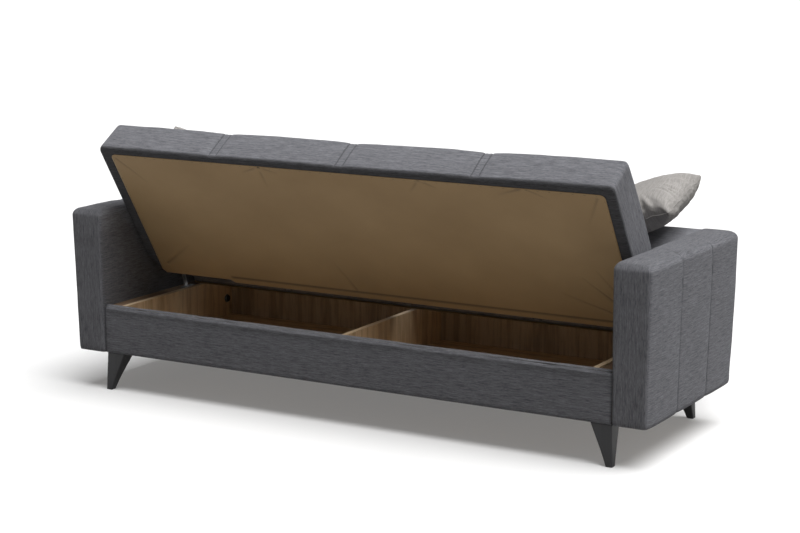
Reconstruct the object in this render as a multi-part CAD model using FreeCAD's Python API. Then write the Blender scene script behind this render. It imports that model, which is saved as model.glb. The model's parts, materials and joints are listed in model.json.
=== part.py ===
import FreeCAD, Part
import math
import os

from FreeCAD import Vector

# A three-seat sofa bed with a bedding box under the seat. Millimetres, +Z up.
# X runs along the sofa, the front faces -Y, and the feet stand on Z = 0.
# It is drawn with Y = 0 at the front of the arms, and moved at the end so that the
# origin lies on the floor, under the middle of the whole open sofa.

# Main sizes
sofa_width = 2130.0
arm_width = 113.0
arm_depth = 676.0
arm_height = 628.0
leg_height = 133.0
rail_top = 299.0
butt_gap = 0.3
hole_clearance = 0.05
cut_overrun = 20.0

# Arms
arm_side_swell = 11.0
arm_end_swell = 10.0
arm_swell_shares = ((0.0, 0.05), (0.35, 0.6), (0.7, 0.95), (1.0, 1.0))
arm_top_round = 26.0
arm_corner_round = 14.0
arm_corner_steps = 3
arm_channel_depth = 4.0
arm_seam_shares = (0.343, 0.683)
round_shares = (0.0, 1 / 3, 2 / 3, 1.0)
arm_skin = 3.0
arm_foam_side = 9.0
arm_foam_end = 13.0
arm_stock = 45.0
arm_stud = 50.0
arm_pad = 50.0

# Bedding box
rail_board = 18.0
rail_skin = 3.0
rail_lip = 1.5
rail_round = 8.0
side_board = 18.0
side_inset = 74.0
edge_band = 1.0
edge_drop = 1.0
floor_sheet = 6.0
batten = 18.0
plank = 18.0
plank_drop = 6.0
post_depth = 60.0
lining_sheet = 1.0
rear_lining_drop = 29.0

# Seat and backrest panels, both alike
panel_depth = 553.0
panel_thickness = 135.0
panel_crown = 9.0
panel_side_gap = 2.0
panel_rest_gap = 1.0
panel_top_round = 14.0
panel_low_edge = 6.0
panel_channel = 486.0
panel_channel_depth = 5.0
channel_shares = (0.0, 0.08, 0.3, 0.7, 0.92, 1.0)
seam_crown_share = 0.55
end_pull_share = 0.3
low_edge_share = 0.4
panel_skin = 3.0
panel_cloth = 2.0
panel_hem = 45.0
lining_end_inset = 30.0
lining_front_inset = 24.0
lining_hinge_inset = 9.0
corner_cut = 60.0
corner_foam = 4.0
foam_crown_share = 0.5
foam_end_inset = 8.0
frame_height = 60.0
frame_stock = 25.0
frame_edge_inset = 15.0
slat_width = 70.0
web_strap = 2.0
web_width = 60.0
web_count = 8

# Hinge fitting at each end
pivot_setback = 398.0
pivot_end_gap = 16.0
pivot_below_top = 9.0
seat_lift = 57.7
back_tilt = 14.5
fitting_inset = 16.0
fitting_plate = 4.0
plate_gap = 0.5
pin_radius = 5.0
pin_head_radius = 9.0
pin_head = 3.0
seat_eye_radius = 20.0
ratchet_tip_radius = 28.0
ratchet_root_radius = 24.0
ratchet_teeth = 18
base_head_radius = 22.0
arm_neck_reach = 72.0
arm_neck_drop = 95.0
arm_neck_half = 12.0
arm_bar_half = 15.0
arm_bar_length = 168.0
arm_bar_corner = 6.0
strut_half = 8.0
strut_clearance = 3.0
flange_width = 24.0
flange_length = 60.0
housing_sides = 12
housing_flange = 2.0
housing_radius = 32.0
housing_dome_radius = 26.0
housing_dome = 7.0
pocket_clearance = 1.0
screw_head_radius = 7.0
screw_head = 4.0
base_screw_head = 2.0
fitting_screws = 3

# Legs and bolts
leg_top_width = 97.0
leg_top_depth = 48.0
leg_under_arm = 17.0
leg_foot_width = 33.0
leg_foot_depth = 32.0
leg_front_setback = 5.0
leg_side_taper = 6.0
leg_end_taper = 3.0
leg_edge = 3.0
leg_middle_share = 0.29
bolt_radius = 4.0
leg_bolt_up = 60.0
leg_bolt_down = 40.0
arm_bolt_height = 219.0
arm_bolt_bite = 30.0
arm_bolt_head_radius = 8.0
arm_bolt_head = 4.0
cap_radius = 15.0
cap_top_radius = 11.0
cap_height = 7.0
cap_fit = 0.3

# Scatter cushions
cushion_side = 330.0
cushion_thickness = 122.0
cushion_edge = 6.0
cushion_draw_share = 0.07
cushion_shares = (-1.0, -0.97, -0.89, -0.76, -0.56, -0.3, 0.0, 0.3, 0.56, 0.76, 0.89, 0.97, 1.0)
cushion_end_share = 0.999
cushion_rest_gap = 0.3
cushion_start_lift = 60.0
right_cushion_turns = (-0.5, -20.6, 2.7)
right_cushion_in = 274.5
right_cushion_out = 497.6
right_cushion_up = 108.8
left_cushion_turns = (77.9, -9.0, 175.7)
left_cushion_front = 19.0
left_cushion_up = 274.0

# Places worked out from the sizes above
half_gap = sofa_width / 2 - arm_width
panel_half = half_gap - panel_side_gap
panel_low = pivot_below_top - panel_thickness
pivot_height = rail_top + panel_rest_gap + lining_sheet - panel_low
pivot = Vector(0, pivot_setback, pivot_height)
hinge_end = pivot_end_gap
front_end = pivot_end_gap + panel_depth
foam_low = panel_low + panel_cloth
frame_top = foam_low + frame_height
seat_arm_outer = panel_half - fitting_inset
seat_arm_inner = seat_arm_outer - fitting_plate
back_arm_outer = seat_arm_inner - plate_gap
back_arm_inner = back_arm_outer - fitting_plate
base_outer = back_arm_inner - plate_gap
base_inner = base_outer - fitting_plate
board_inner = half_gap - side_inset
board_outer = board_inner + side_board
rail_back = rail_skin + rail_board
box_rear = arm_depth - rail_back
plank_top = rail_top - plank_drop
post_top = plank_top - plank
band_bottom = rail_top - edge_drop - edge_band
floor_low = leg_height + batten
arm_body_top = arm_height - arm_top_round
bolt_front = rail_back + post_depth / 2
bolt_rear = box_rear - post_depth / 2


def box(x0, x1, y0, y1, z0, z1):
    """A block between two corners."""
    return Part.makeBox(x1 - x0, y1 - y0, z1 - z0, Vector(x0, y0, z0))


def rod_x(radius, x0, x1, y, z):
    """A round bar along X."""
    return Part.makeCylinder(radius, x1 - x0, Vector(x0, y, z), Vector(1, 0, 0))


def slab_x(points, x0, x1):
    """A flat plate square to X, from its outline in Y and Z."""
    corners = [Vector(x0, y, z) for y, z in points]
    face = Part.Face(Part.makePolygon(corners + corners[:1]))
    return face.extrude(Vector(x1 - x0, 0, 0))


def slab_z(points, z0, z1):
    """A flat plate square to Z, from its outline in X and Y."""
    corners = [Vector(x, y, z0) for x, y in points]
    face = Part.Face(Part.makePolygon(corners + corners[:1]))
    return face.extrude(Vector(0, 0, z1 - z0))


def hex_x(radius, x0, x1, y, z):
    """A six-sided bar along X, by the radius over its corners."""
    return slab_x(ring(radius, 6, y, z), x0, x1)


def ring(radius, sides, a, b):
    """The corners of a regular outline round the point a, b."""
    turns = [2 * math.pi * i / sides for i in range(sides)]
    return [(a + radius * math.cos(turn), b + radius * math.sin(turn)) for turn in turns]


def skinned(slices):
    """A body through a row of outlines, straight from each to the next."""
    return Part.makeLoft(slices, True, True)


def line(a, b):
    return Part.makeLine(a, b)


def arc(a, middle, b):
    return Part.Arc(a, middle, b).toShape()


def corner_arc(start, corner, end):
    """A round corner between two points at the same distance from a square corner."""
    centre = start + end - corner
    reach = (start - centre).Length
    middle = centre + (corner - centre).normalize() * reach
    return arc(start, middle, end)


def eased_corner(start, corner, end, steps):
    """A round corner as a row of short straight edges."""
    centre = start + end - corner
    turns = [i / steps * math.pi / 2 for i in range(steps + 1)]
    points = [centre + (start - centre) * math.cos(turn) + (end - centre) * math.sin(turn) for turn in turns]
    return [line(a, b) for a, b in zip(points, points[1:])]


def mirrored(shape):
    """The same piece for the other end of the sofa."""
    return shape.mirror(Vector(0, 0, 0), Vector(1, 0, 0))


def fused(shapes):
    return shapes[0].multiFuse(shapes[1:])


def cut(shape, tools):
    for tool in tools:
        shape = shape.cut(tool)
    return shape


def group(shapes):
    """Separate solids that share one node."""
    solids = []
    for shape in shapes:
        solids.extend(shape.Solids)
    return Part.makeCompound(solids)


# Arms, drawn for the right end of the sofa

def arm_outline(z, swell_share, inset):
    """One level of the padded arm: flat inside, three sewn channels outside."""
    inner = half_gap + inset
    outer = half_gap + arm_width + arm_side_swell * swell_share - inset
    seam = outer - arm_channel_depth
    front = inset - arm_end_swell * swell_share
    rear = arm_depth + arm_end_swell * swell_share - inset
    r = arm_corner_round
    marks = [front + (rear - front) * share for share in arm_seam_shares]
    stops = [front + r] + marks + [rear - r]
    inner_front = (Vector(inner, front + r, z), Vector(inner, front, z), Vector(inner + r, front, z))
    outer_front = (Vector(seam - r, front, z), Vector(seam, front, z), Vector(seam, front + r, z))
    outer_rear = (Vector(seam, rear - r, z), Vector(seam, rear, z), Vector(seam - r, rear, z))
    inner_rear = (Vector(inner + r, rear, z), Vector(inner, rear, z), Vector(inner, rear - r, z))
    edges = [line(inner_rear[2], inner_front[0])] + eased_corner(*inner_front, arm_corner_steps)
    edges += [line(inner_front[2], outer_front[0])] + eased_corner(*outer_front, arm_corner_steps)
    for near, far in zip(stops, stops[1:]):
        edges.append(arc(Vector(seam, near, z), Vector(outer, (near + far) / 2, z), Vector(seam, far, z)))
    edges += eased_corner(*outer_rear, arm_corner_steps) + [line(outer_rear[2], inner_rear[0])]
    edges += eased_corner(*inner_rear, arm_corner_steps)
    return Part.Wire(edges)


def arm_form():
    """The outside of the upholstered arm, with its rounded top."""
    body_height = arm_body_top - leg_height
    body = [arm_outline(leg_height + body_height * up, swell, 0) for up, swell in arm_swell_shares]
    cap = []
    for share in round_shares:
        turn = share * math.pi / 2
        rise = arm_top_round * math.sin(turn)
        inset = arm_top_round * (1 - math.cos(turn))
        cap.append(arm_outline(arm_body_top + rise, 1, inset))
    return skinned(body).fuse(skinned(cap))


def arm_foam_block():
    inner = half_gap + arm_skin
    outer = half_gap + arm_width - arm_channel_depth - arm_skin
    return box(inner, outer, arm_skin, arm_depth - arm_skin, leg_height, arm_body_top)


def arm_frame_block():
    inner = half_gap + arm_skin + arm_foam_side
    outer = half_gap + arm_width - arm_channel_depth - arm_skin - arm_foam_side
    ends = arm_skin + arm_foam_end
    return box(inner, outer, ends, arm_depth - ends, leg_height, arm_body_top - arm_foam_end)


def arm_pads():
    """Timber pads on the end posts, bare where the arm is bolted to the bedding box."""
    x1 = half_gap + arm_skin + arm_foam_side
    half = arm_pad / 2
    z0, z1 = arm_bolt_height - half, arm_bolt_height + half
    return [box(half_gap, x1, y - half, y + half, z0, z1) for y in (bolt_front, bolt_rear)]


def arm_bolt_holes():
    end = half_gap + arm_skin + arm_foam_side + arm_bolt_bite
    radius = bolt_radius + hole_clearance
    return [rod_x(radius, board_inner - cut_overrun, end, y, arm_bolt_height) for y in (bolt_front, bolt_rear)]


def arm_frame():
    """Timber frame: two long rails, end posts with their pads, and a stud behind each seam."""
    block = arm_frame_block().BoundBox
    x0, x1, y0, y1, z0, z1 = block.XMin, block.XMax, block.YMin, block.YMax, block.ZMin, block.ZMax
    pieces = [box(x0, x1, y0, y1, z0, z0 + arm_stock), box(x0, x1, y0, y1, z1 - arm_stock, z1)]
    for y, pad in zip((y0, y1 - arm_stud), arm_pads()):
        end_post = box(x0, x1, y, y + arm_stud, z0 + arm_stock, z1 - arm_stock)
        pieces.append(cut(end_post.fuse(pad), arm_bolt_holes()))
    for share in arm_seam_shares:
        y = arm_depth * share - arm_stud / 2
        pieces.append(box(x0, x1, y, y + arm_stud, z0 + arm_stock, z1 - arm_stock))
    return group(pieces)


def arm_foam():
    return cut(arm_foam_block(), [arm_frame_block()] + arm_pads())


def arm_cover():
    return cut(arm_form(), [arm_foam_block()] + arm_pads())


# Bedding box

def rail_cover_outline():
    """Cloth over the front, top and bottom edges of a rail board, as Y and Z points."""
    return [
        (0, leg_height),
        (rail_back, leg_height),
        (rail_back, leg_height + rail_lip),
        (rail_skin, leg_height + rail_lip),
        (rail_skin, rail_top - rail_skin),
        (rail_back, rail_top - rail_skin),
        (rail_back, rail_top),
        (0, rail_top),
    ]


def front_rail_cover():
    reach = half_gap - butt_gap
    cover = slab_x(rail_cover_outline(), -reach, reach)
    edges = [e for e in cover.Edges if abs(e.BoundBox.ZMin - rail_top) < butt_gap
             and abs(e.BoundBox.YMax) < butt_gap and e.Length > reach]
    return cover.makeFillet(rail_round, edges)


def front_rail_board():
    reach = half_gap - butt_gap
    low = leg_height + rail_lip
    return box(-reach, reach, rail_skin, rail_back, low, rail_top - rail_skin)


def turned_to_rear(shape):
    """The same piece at the rear of the box, facing the other way."""
    return shape.mirror(Vector(0, arm_depth / 2, 0), Vector(0, 1, 0))


def rear_rail_lining():
    """Strip of lining cloth stapled inside the top of the rear rail, one each side of the divider."""
    y0, y1 = box_rear - lining_sheet, box_rear
    z0, z1 = band_bottom - rear_lining_drop, band_bottom
    half = side_board / 2
    right = box(half, board_inner, y0, y1, z0, z1)
    return group([right, mirrored(right)])


def side_board_right():
    board = box(board_inner, board_outer, rail_back, box_rear, leg_height, band_bottom)
    return cut(board, arm_bolt_holes())


def centre_divider():
    half = side_board / 2
    return box(-half, half, rail_back, box_rear, leg_height, band_bottom)


def edge_bands():
    """Thin light banding along the top edges of the boards."""
    half = side_board / 2
    right = box(board_inner, board_outer, rail_back, box_rear, band_bottom, band_bottom + edge_band)
    middle = box(-half, half, rail_back, box_rear, band_bottom, band_bottom + edge_band)
    return group([right, mirrored(right), middle])


def floor_panel_right():
    return box(side_board / 2, board_inner, rail_back, box_rear, floor_low, floor_low + floor_sheet)


def floor_battens():
    """A frame of battens under each floor panel."""
    half = side_board / 2
    y_low, y_high = rail_back, box_rear
    right = [
        box(half, board_inner, y_low, y_low + batten, leg_height, floor_low),
        box(half, board_inner, y_high - batten, y_high, leg_height, floor_low),
        box(half, half + batten, y_low + batten, y_high - batten, leg_height, floor_low),
        box(board_inner - batten, board_inner, y_low + batten, y_high - batten, leg_height, floor_low),
    ]
    return group(right + [mirrored(piece) for piece in right])


def post(y0, y1):
    return box(board_outer, half_gap - butt_gap, y0, y1, leg_height, post_top)


def corner_post_front():
    return cut(post(rail_back, rail_back + post_depth), arm_bolt_holes() + [leg_bolt_hole()])


def corner_post_rear():
    rear_hole = turned_to_rear(leg_bolt_hole())
    return cut(post(box_rear - post_depth, box_rear), arm_bolt_holes() + [rear_hole])


def base_foot_y():
    """Middle of the hinge base's foot: as far back as the cut corner of the backrest allows."""
    reach = hinge_end + corner_cut - (panel_half - base_inner)
    return pivot_setback + reach - strut_half - strut_clearance


def hinge_post():
    y = base_foot_y()
    return post(y - post_depth / 2, y + post_depth / 2)


def hinge_plank():
    return box(board_outer, half_gap - butt_gap, rail_back, box_rear, post_top, plank_top)


# Legs

def leg_from_front():
    """The leg's outline from the front, whose inner side sweeps in to the foot, drawn deep."""
    y = leg_front_setback - cut_overrun
    top_outer = half_gap + leg_under_arm
    foot_outer = top_outer - leg_side_taper
    middle_width = leg_foot_width + (leg_top_width - leg_foot_width) * leg_middle_share
    top_inner = Vector(top_outer - leg_top_width, y, leg_height)
    middle = Vector((top_outer + foot_outer) / 2 - middle_width, y, leg_height / 2)
    foot_inner = Vector(foot_outer - leg_foot_width, y, 0)
    edges = [
        line(Vector(foot_outer, y, 0), Vector(top_outer, y, leg_height)),
        line(Vector(top_outer, y, leg_height), top_inner),
        arc(top_inner, middle, foot_inner),
        line(foot_inner, Vector(foot_outer, y, 0)),
    ]
    return Part.Face(Part.Wire(edges)).extrude(Vector(0, leg_top_depth + 2 * cut_overrun, 0))


def leg_from_side():
    """The leg's outline from the side, drawn wide."""
    top, foot = leg_front_setback, leg_front_setback + leg_end_taper
    outline = [(top, leg_height), (top + leg_top_depth, leg_height), (foot + leg_foot_depth, 0), (foot, 0)]
    outer = half_gap + leg_under_arm
    return slab_x(outline, outer - leg_top_width - cut_overrun, outer + cut_overrun)


def leg_bolt(extra):
    x = (board_outer + half_gap) / 2
    y = leg_front_setback + leg_top_depth / 2
    height = leg_bolt_up + leg_bolt_down
    return Part.makeCylinder(bolt_radius + extra, height, Vector(x, y, leg_height - leg_bolt_down))


def leg_bolt_hole():
    return leg_bolt(hole_clearance)


def leg_front():
    """A block leg with its long edges eased."""
    block = leg_from_front().common(leg_from_side())
    edges = [edge for edge in block.Edges if edge.BoundBox.ZLength > leg_height / 2]
    return block.makeChamfer(leg_edge, edges).cut(leg_bolt_hole())


def leg_bolts():
    front = leg_bolt(0)
    right = [front, turned_to_rear(front)]
    return group(right + [mirrored(bolt) for bolt in right])


# Arm bolts with their caps

def arm_bolt(y):
    end = half_gap + arm_skin + arm_foam_side + arm_bolt_bite
    shank = rod_x(bolt_radius, board_inner, end, y, arm_bolt_height)
    head = hex_x(arm_bolt_head_radius, board_inner - arm_bolt_head, board_inner, y, arm_bolt_height)
    return shank.fuse(head)


def arm_bolts():
    right = [arm_bolt(y) for y in (bolt_front, bolt_rear)]
    return group(right + [mirrored(bolt) for bolt in right])


def bolt_cap(y):
    """Tapered cap pressed over a bolt head, with a six-sided socket for it."""
    z = arm_bolt_height
    start = Vector(board_inner, y, z)
    body = Part.makeCone(cap_radius, cap_top_radius, cap_height, start, Vector(-1, 0, 0))
    deep = board_inner - arm_bolt_head - cap_fit
    return body.cut(hex_x(arm_bolt_head_radius + cap_fit, deep, board_inner + cut_overrun, y, z))


def bolt_caps():
    right = [bolt_cap(y) for y in (bolt_front, bolt_rear)]
    return group(right + [mirrored(cap) for cap in right])


# Panels lie flat here: Y is the distance from the pivot, Z = 0 is the pivot's level,
# and the cushion side is up.

def panel_outline(x, pull, inset, crown):
    """One slice of a panel: flat below with eased edges, round edges and a crown above."""
    y0, y1 = hinge_end + inset, front_end - inset - pull
    low, top = panel_low + inset * low_edge_share, pivot_below_top - inset - pull
    rt, rb = panel_top_round, panel_low_edge
    middle = Vector(x, (y0 + y1) / 2, top + crown)
    return Part.Wire([
        line(Vector(x, y0 + rb, low), Vector(x, y1 - rb, low)),
        line(Vector(x, y1 - rb, low), Vector(x, y1, low + rb)),
        line(Vector(x, y1, low + rb), Vector(x, y1, top - rt)),
        corner_arc(Vector(x, y1, top - rt), Vector(x, y1, top), Vector(x, y1 - rt, top)),
        arc(Vector(x, y1 - rt, top), middle, Vector(x, y0 + rt, top)),
        corner_arc(Vector(x, y0 + rt, top), Vector(x, y0, top), Vector(x, y0, top - rt)),
        line(Vector(x, y0, top - rt), Vector(x, y0, low + rb)),
        line(Vector(x, y0, low + rb), Vector(x, y0 + rb, low)),
    ])


def swelled_outline(x, draw):
    """A slice of a channel, drawn in by a share of the seam's depth."""
    crown = panel_crown * (1 - (1 - seam_crown_share) * draw)
    return panel_outline(x, panel_channel_depth * draw, 0, crown)


def channel(x0, x1, draw_last):
    """One padded channel, drawn in at the seam on x0 and by draw_last at x1."""
    slices = []
    for share in channel_shares:
        draw = abs(2 * share - 1) ** 4
        if share > channel_shares[len(channel_shares) // 2 - 1]:
            draw *= draw_last
        slices.append(swelled_outline(x0 + (x1 - x0) * share, draw))
    return skinned(slices)


def panel_end(x0):
    """The rounded end of a panel."""
    slices = []
    crown = panel_crown * (1 - (1 - seam_crown_share) * end_pull_share)
    for share in round_shares:
        turn = share * math.pi / 2
        x = x0 + panel_top_round * math.sin(turn)
        inset = panel_top_round * (1 - math.cos(turn))
        slices.append(panel_outline(x, panel_channel_depth * end_pull_share, inset, crown))
    return skinned(slices)


def corner_cutter(leg, low, high):
    """A wedge that takes off both corners beside the hinge fittings."""
    over = cut_overrun
    right = slab_z([
        (panel_half + over, hinge_end - over),
        (panel_half + over, hinge_end + leg + over),
        (panel_half - leg - over, hinge_end - over),
    ], low, high)
    return [right, mirrored(right)]


def corner_cuts(leg):
    return corner_cutter(leg, panel_low - cut_overrun, pivot_below_top + panel_crown + cut_overrun)


def panel_form():
    end_start = panel_half - panel_top_round
    right = [
        channel(0, panel_channel, 1),
        channel(panel_channel, end_start, end_pull_share),
        panel_end(end_start),
    ]
    whole = fused(right + [mirrored(piece) for piece in right])
    return cut(whole, corner_cuts(corner_cut))


def foam_block(leg):
    """The space inside a panel's cover, with a gentle crown."""
    x = panel_half - foam_end_inset
    y0 = hinge_end + panel_skin
    y1 = front_end - panel_channel_depth - panel_skin
    top = pivot_below_top - panel_channel_depth - panel_skin
    r = panel_top_round - panel_skin
    low = foam_low
    middle = Vector(-x, (y0 + y1) / 2, top + panel_crown * foam_crown_share)
    outline = Part.Wire([
        line(Vector(-x, y0, low), Vector(-x, y1, low)),
        line(Vector(-x, y1, low), Vector(-x, y1, top - r)),
        corner_arc(Vector(-x, y1, top - r), Vector(-x, y1, top), Vector(-x, y1 - r, top)),
        arc(Vector(-x, y1 - r, top), middle, Vector(-x, y0 + r, top)),
        corner_arc(Vector(-x, y0 + r, top), Vector(-x, y0, top), Vector(-x, y0, top - r)),
        line(Vector(-x, y0, top - r), Vector(-x, y0, low)),
    ])
    block = Part.Face(outline).extrude(Vector(2 * x, 0, 0))
    return cut(block, corner_cuts(leg))


def foam_corner():
    return corner_cut + panel_skin * math.sqrt(2)


def frame_corner():
    return foam_corner() + corner_foam * math.sqrt(2)


def frame_edges():
    """Front and hinge edges of the timber frame."""
    y0 = hinge_end + panel_skin + frame_edge_inset
    y1 = front_end - panel_channel_depth - panel_skin - frame_edge_inset
    return y0, y1


def fitting_pocket(inner, outer):
    """Room in the padding for the fitting's arm and its screw heads."""
    y0 = hinge_end
    y1 = arm_neck_reach + arm_bar_length + arm_bar_half + pocket_clearance
    z0 = -arm_neck_drop - arm_bar_half - pocket_clearance
    slope = arm_neck_drop / arm_neck_reach
    wide = arm_neck_half * math.hypot(slope, 1)
    entry = hinge_end + corner_cut - (panel_half - inner)
    z1 = wide - slope * entry + wide
    right = box(inner, outer + screw_head + pocket_clearance, y0, y1, z0, z1)
    return [right, mirrored(right)]


def panel_cover(inner, outer):
    """Cloth and wadding round the panel, turned in below as a hem."""
    hem = panel_hem
    y0, y1 = hinge_end + hem, front_end - hem
    x = panel_half - hem
    opening = box(-x, x, y0, y1, panel_low - cut_overrun, foam_low)
    opening = cut(opening, corner_cuts(corner_cut + hem * math.sqrt(2)))
    return cut(panel_form(), [foam_block(foam_corner()), opening] + fitting_pocket(inner, outer))


def panel_foam(inner, outer):
    """Foam over the webbing and round the sides of the frame."""
    y0, y1 = frame_edges()
    room = box(-inner, inner, y0, y1, foam_low - cut_overrun, frame_top + web_strap)
    room = cut(room, corner_cuts(frame_corner()))
    return cut(foam_block(foam_corner()), [room] + fitting_pocket(inner, outer))


def slat_places():
    """The cross slats lie under the seams."""
    return (-panel_channel, 0, panel_channel)


def panel_frame(outer):
    """Timber frame of a panel: long rails, end rails and cross slats."""
    y0, y1 = frame_edges()
    z0, z1 = foam_low, frame_top
    stock = frame_stock
    pieces = [box(-outer, outer, y0, y0 + stock, z0, z1), box(-outer, outer, y1 - stock, y1, z0, z1)]
    ends = [(outer - stock, outer), (-outer, stock - outer)]
    slats = [(x - slat_width / 2, x + slat_width / 2) for x in slat_places()]
    for x0, x1 in ends:
        pieces.append(box(x0, x1, y0 + stock, y1 - stock, z0, z1))
    for x0, x1 in slats:
        pieces.append(box(x0, x1, y0 + stock, y1 - stock, z1 - stock, z1))
    return group([cut(piece, corner_cuts(frame_corner())) for piece in pieces])


def panel_webbing(outer):
    """Straps over the frame from the hinge rail to the front rail."""
    y0, y1 = frame_edges()
    reach = outer - frame_stock - web_width
    straps = []
    for i in range(web_count):
        x = reach * ((2 * i + 1) / web_count - 1)
        straps.append(box(x - web_width / 2, x + web_width / 2, y0, y1, frame_top, frame_top + web_strap))
    return group(straps)


def panel_lining():
    """Non-woven lining over the underside, inside the hem."""
    x = panel_half - lining_end_inset
    y0, y1 = hinge_end + lining_hinge_inset, front_end - lining_front_inset
    sheet = box(-x, x, y0, y1, panel_low - lining_sheet, panel_low)
    return cut(sheet, corner_cuts(corner_cut + lining_end_inset * math.sqrt(2)))


# Hinge fitting, drawn for the right end in the panel's own flat place

def fitting_screw_places():
    """Screws along the bar of a fitting's arm."""
    step = arm_bar_length / fitting_screws
    return [(arm_neck_reach + step * (i + 0.5), -arm_neck_drop) for i in range(fitting_screws)]


def fitting_screws_of(outer):
    """Six-sided screw heads of both ends of one panel, seated on the fitting's bars."""
    heads = []
    for y, z in fitting_screw_places():
        head = hex_x(screw_head_radius, outer, outer + screw_head, y, z)
        heads += [head, mirrored(head)]
    return group(heads)


def neck_slab(x0, x1):
    """The slanted neck from the eye to the bar."""
    length = math.hypot(arm_neck_reach, arm_neck_drop)
    across_y = arm_neck_half * arm_neck_drop / length
    across_z = arm_neck_half * arm_neck_reach / length
    return slab_x([
        (-across_y, -across_z),
        (across_y, across_z),
        (arm_neck_reach + across_y, across_z - arm_neck_drop),
        (arm_neck_reach - across_y, -across_z - arm_neck_drop),
    ], x0, x1)


def bar_slab(x0, x1):
    """The bar that is screwed to the panel's end rail, with its corners taken off."""
    y0, y1 = arm_neck_reach - arm_bar_half, arm_neck_reach + arm_bar_length + arm_bar_half
    z0, z1 = -arm_neck_drop - arm_bar_half, -arm_neck_drop + arm_bar_half
    c = arm_bar_corner
    return slab_x([
        (y0 + c, z0), (y1 - c, z0), (y1, z0 + c), (y1, z1 - c),
        (y1 - c, z1), (y0 + c, z1), (y0, z1 - c), (y0, z0 + c),
    ], x0, x1)


def fitting_arm(x0, x1, eye):
    """Steel arm: an eye on the pin, a slanted neck, and a bar along the frame."""
    hole = rod_x(pin_radius + hole_clearance, x0 - cut_overrun, x1 + cut_overrun, 0, 0)
    return fused([eye, neck_slab(x0, x1), bar_slab(x0, x1)]).cut(hole).removeSplitter()


def ratchet_wheel(x0, x1):
    """Saw-toothed wheel round the pin."""
    points = []
    for i in range(ratchet_teeth):
        turn = 2 * math.pi * i / ratchet_teeth
        for radius in (ratchet_tip_radius, ratchet_root_radius):
            points.append((radius * math.cos(turn), radius * math.sin(turn)))
    return slab_x(points, x0, x1)


def seat_arm():
    eye = rod_x(seat_eye_radius, seat_arm_inner, seat_arm_outer, 0, 0)
    return fitting_arm(seat_arm_inner, seat_arm_outer, eye)


def back_arm():
    return fitting_arm(back_arm_inner, back_arm_outer, ratchet_wheel(back_arm_inner, back_arm_outer))


def ratchet_housing():
    """Closed pressed housing of the catch, a many-sided plate and box, outside the seat's arm."""
    x0 = seat_arm_outer
    x1 = x0 + housing_flange
    x2 = x1 + housing_dome
    plate = slab_x(ring(housing_radius, housing_sides, 0, 0), x0, x1)
    raised = slab_x(ring(housing_dome_radius, housing_sides, 0, 0), x1, x2)
    return plate.fuse(raised).cut(rod_x(pin_radius + hole_clearance, x0 - cut_overrun, x2 + cut_overrun, 0, 0))


# Hinge base, drawn in place

def base_screw_places():
    """Two screws through the foot of the hinge base."""
    y = base_foot_y()
    x = base_inner - flange_width / 2
    step = flange_length / 4
    return [(x, y - step), (x, y + step)]


def base_screws():
    """Low six-sided screw heads on the foot of each hinge base."""
    low = plank_top + fitting_plate
    right = [slab_z(ring(screw_head_radius, 6, x, y), low, low + base_screw_head) for x, y in base_screw_places()]
    return group(right + [mirrored(head) for head in right])


def hinge_base():
    """Bracket that carries the pin: a round head, a leaning strut and a screwed foot."""
    foot = base_foot_y()
    low = plank_top
    lean_y, lean_z = foot - pivot_setback, low - pivot_height
    length = math.hypot(lean_y, lean_z)
    across = strut_half * length / abs(lean_z)
    x0, x1 = base_inner, base_outer
    strut = slab_x([
        (pivot_setback - across, pivot_height),
        (pivot_setback + across, pivot_height),
        (foot + across, low),
        (foot - across, low),
    ], x0, x1)
    head = rod_x(base_head_radius, x0, x1, pivot_setback, pivot_height)
    half = flange_length / 2
    flange = box(x0 - flange_width, x1, foot - half, foot + half, low, low + fitting_plate)
    hole = rod_x(pin_radius + hole_clearance, x0 - cut_overrun, x1 + cut_overrun, pivot_setback, pivot_height)
    return fused([strut, head, flange]).cut(hole).removeSplitter()


def hinge_pin():
    """Pivot bolt with a six-sided head at one end and its nut at the other."""
    x0 = base_inner - pin_head
    x1 = seat_arm_outer + housing_flange + housing_dome
    y, z = pivot_setback, pivot_height
    shank = rod_x(pin_radius, x0, x1, y, z)
    heads = [hex_x(pin_head_radius, x0, x0 + pin_head, y, z), hex_x(pin_head_radius, x1, x1 + pin_head, y, z)]
    return fused([shank] + heads)


# Moving the flat panels to where the open sofa has them

def lifted(shape):
    """A seat piece, turned to face forwards, tipped up and put on the pivot."""
    moved = shape.mirror(Vector(0, 0, 0), Vector(0, 1, 0))
    moved.rotate(Vector(0, 0, 0), Vector(1, 0, 0), -seat_lift)
    moved.translate(pivot)
    return moved


def leaned(shape):
    """A backrest piece, raised from flat and put on the pivot."""
    moved = shape.copy()
    moved.rotate(Vector(0, 0, 0), Vector(1, 0, 0), back_tilt)
    moved.translate(pivot)
    return moved


# Scatter cushions

def fullness(share):
    """How full the cushion is, from 1 at its middle to 0 at its seam."""
    return math.sqrt(1 - share ** 4)


def facet(points):
    return Part.Face(Part.makePolygon(points + points[:1]))


def faceted(slices):
    """A closed body of flat facets through a row of outlines, given as lists of points."""
    faces = [facet(slices[0]), facet(slices[-1])]
    for near, far in zip(slices, slices[1:]):
        for i in range(len(near)):
            a, b, c, d = near[i - 1], near[i], far[i], far[i - 1]
            faces += [facet([a, b, c]), facet([a, c, d])]
    return Part.Solid(Part.makeShell(faces))


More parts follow.
